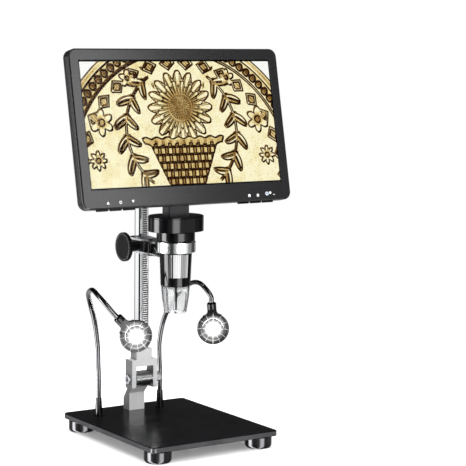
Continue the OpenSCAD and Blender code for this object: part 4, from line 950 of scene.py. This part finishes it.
def studio_floor():
    """Pale floor that fades out into the white of the background."""
    bm = bmesh.new()
    bmesh.ops.create_circle(bm, cap_ends=True, segments=96, radius=FLOOR_R)
    mesh = bpy.data.meshes.new("studio_floor")
    bm.to_mesh(mesh)
    bm.free()
    obj = new_object("studio_floor", mesh)
    g = Graph("floor_white")
    g.set(Base_Color=g.ramp(g.noise(6, 2), [(0.3, 0.93), (0.7, 0.95)]), Roughness=0.9,
          Specular_IOR_Level=0.1)
    clear = g.tree.nodes.new("ShaderNodeBsdfTransparent")
    fade = g.tree.nodes.new("ShaderNodeMixShader")
    x, y, _ = g.axes()
    path = g.tree.nodes.new("ShaderNodeLightPath")
    mirrored, seen = (Signal(g.tree, path.outputs[kind]) for kind in ("Is Glossy Ray", "Is Camera Ray"))
    g.link(length(x, y).step(*FLOOR_FADE).max(mirrored * HIDDEN_FROM_GLOSS), fade.inputs[0])
    lit, bright = g.tree.nodes.new("ShaderNodeMixShader"), g.tree.nodes.new("ShaderNodeEmission")
    g.link(seen * FLOOR_LIFT, lit.inputs[0])
    g.link(g.shader.outputs[0], lit.inputs[1])
    g.link(bright.outputs[0], lit.inputs[2])
    g.link(lit.outputs[0], fade.inputs[1])
    g.link(clear.outputs[0], fade.inputs[2])
    g.link(fade.outputs[0], g.tree.nodes["Material Output"].inputs["Surface"])
    mesh.materials.append(g.material)


CAMERA_AT = Vector((-0.92294, -1.49898, 0.42489))
CAMERA_RIGHT = Vector((0.8323, -0.55421, 0.01094))
CAMERA_BACK = Vector((-0.55145, -0.82584, 0.11786))
CAMERA_LENS = 133.12


def studio_camera():
    """The photograph's camera, as it was fitted to the object's corners."""
    data = bpy.data.cameras.new("camera")
    data.lens, data.sensor_width = CAMERA_LENS, 36.0
    obj = bpy.data.objects.new("camera", data)
    bpy.context.scene.collection.objects.link(obj)
    back = CAMERA_BACK.normalized()
    up = back.cross(CAMERA_RIGHT).normalized()
    right = up.cross(back)
    turn = Matrix((right, up, back)).transposed()
    obj.matrix_world = Matrix.Translation(CAMERA_AT) @ turn.to_4x4()
    bpy.context.scene.camera = obj


# What polished surfaces see, as (place, level): the place is a part of a turn round the object, 0.5 is the
# camera's side. Sides of the object turned to -X and to -Y mirror the strips at SIDE_STRIPS to the camera.
REFLECTED = [(0.0, 0.5), (0.09, 0.5), (0.125, 0.02), (0.15, 0.02), (0.168, 1.08), (0.205, 1.08),
             (0.222, 0.06), (0.245, 0.5), (0.277, 22.0), (0.336, 22.0), (0.342, 1.2), (0.385, 0.3),
             (0.42, 0.02), (0.465, 0.02), (0.49, 0.5), (0.53, 0.6), (0.565, 11.0), (0.63, 11.0),
             (0.665, 0.95), (0.705, 0.95), (0.722, 0.3), (0.77, 0.3), (0.80, 0.08), (0.87, 0.02),
             (0.91, 0.5), (1.0, 0.5)]
SIDE_STRIPS = (0.187, 0.687)


def studio_world():
    """White to the camera, soft light to matt surfaces and REFLECTED to polished ones."""
    world = bpy.data.worlds.new("studio")
    bpy.context.scene.world = world
    world.use_nodes = True
    tree = world.node_tree
    tree.nodes.clear()
    output = tree.nodes.new("ShaderNodeOutputWorld")
    path = tree.nodes.new("ShaderNodeLightPath")
    split = tree.nodes.new("ShaderNodeSeparateXYZ")
    tree.links.new(tree.nodes.new("ShaderNodeTexCoord").outputs["Generated"], split.inputs[0])
    x, y, z = (Signal(tree, split.outputs[i]) for i in range(3))
    side = Vector((CAMERA_BACK.x, CAMERA_BACK.y)).normalized()
    ahead = x * side.x + y * side.y
    right = x * -side.y + y * side.x
    place = right.op("ARCTAN2", ahead) / (2 * math.pi) + 0.5
    ramp = tree.nodes.new("ShaderNodeValToRGB")
    tree.links.new(place.socket, ramp.inputs[0])
    elements = ramp.color_ramp.elements
    while len(elements) < len(REFLECTED):
        elements.new(0.5)
    for element, (at, level) in zip(elements, REFLECTED):
        element.position = at
        element.color = grey(level)
    above_horizon = z.step(0.08, 0.0) * 0.96 + 0.04
    strips = largest([(place - at).abs().step(0.05, 0.035) for at in SIDE_STRIPS])
    far_down = z.step(-0.16, -0.2)
    level = above_horizon * (far_down * strips * -0.93 + 1.0)

    def background(strength):
        node = tree.nodes.new("ShaderNodeBackground")
        if isinstance(strength, Signal):
            tree.links.new(strength.socket, node.inputs["Strength"])
        else:
            node.inputs["Strength"].default_value = strength
        return node

    mirrored = background(level)
    tree.links.new(ramp.outputs[0], mirrored.inputs["Color"])
    from_front = (x * 0.45 - y * 0.75 + z * 0.5).step(-0.6, 0.9)
    from_above = z.step(-0.05, 0.4) * 0.85 + 0.7
    soft, white = background(from_front * from_above * 1.25 + 0.1), background(1.0)
    white.inputs["Color"].default_value = soft.inputs["Color"].default_value = grey(1.0)

    def mixed(factor, a, b):
        node = tree.nodes.new("ShaderNodeMixShader")
        tree.links.new(factor, node.inputs[0])
        tree.links.new(a.outputs[0], node.inputs[1])
        tree.links.new(b.outputs[0], node.inputs[2])
        return node

    seen = mixed(path.outputs["Is Glossy Ray"], soft, mirrored)
    seen = mixed(path.outputs["Is Transmission Ray"], seen, white)
    seen = mixed(path.outputs["Is Camera Ray"], seen, white)
    tree.links.new(seen.outputs[0], output.inputs["Surface"])


def softbox(name, place, target, width, height, power, mirrored=False):
    """Large soft light, which polished surfaces mirror only if they are told to."""
    data = bpy.data.lights.new(name, "AREA")
    data.shape, data.size, data.size_y, data.energy = "RECTANGLE", width, height, power
    obj = bpy.data.objects.new(name, data)
    bpy.context.scene.collection.objects.link(obj)
    obj.location = place
    obj.rotation_euler = (Vector(target) - Vector(place)).to_track_quat("-Z", "Y").to_euler()
    obj.visible_camera = obj.visible_transmission = False
    obj.visible_glossy = mirrored


studio_floor()
studio_camera()
studio_world()
softbox("sheen", (0.25, -0.68, 0.55), (-0.12, -0.03, 0.30), 0.2, 0.36, 1.35, mirrored=True)
softbox("key", (-0.8, 0.85, 1.7), (0, 0, 0.15), 1.0, 1.0, 17)
softbox("fill", (-1.5, -0.2, 0.45), (0, 0, 0.02), 1.2, 0.5, 7)
softbox("top", (0.1, 0.2, 1.9), (0, 0, 0.1), 1.1, 1.1, 26)

bpy.context.scene.view_settings.view_transform = "Standard"
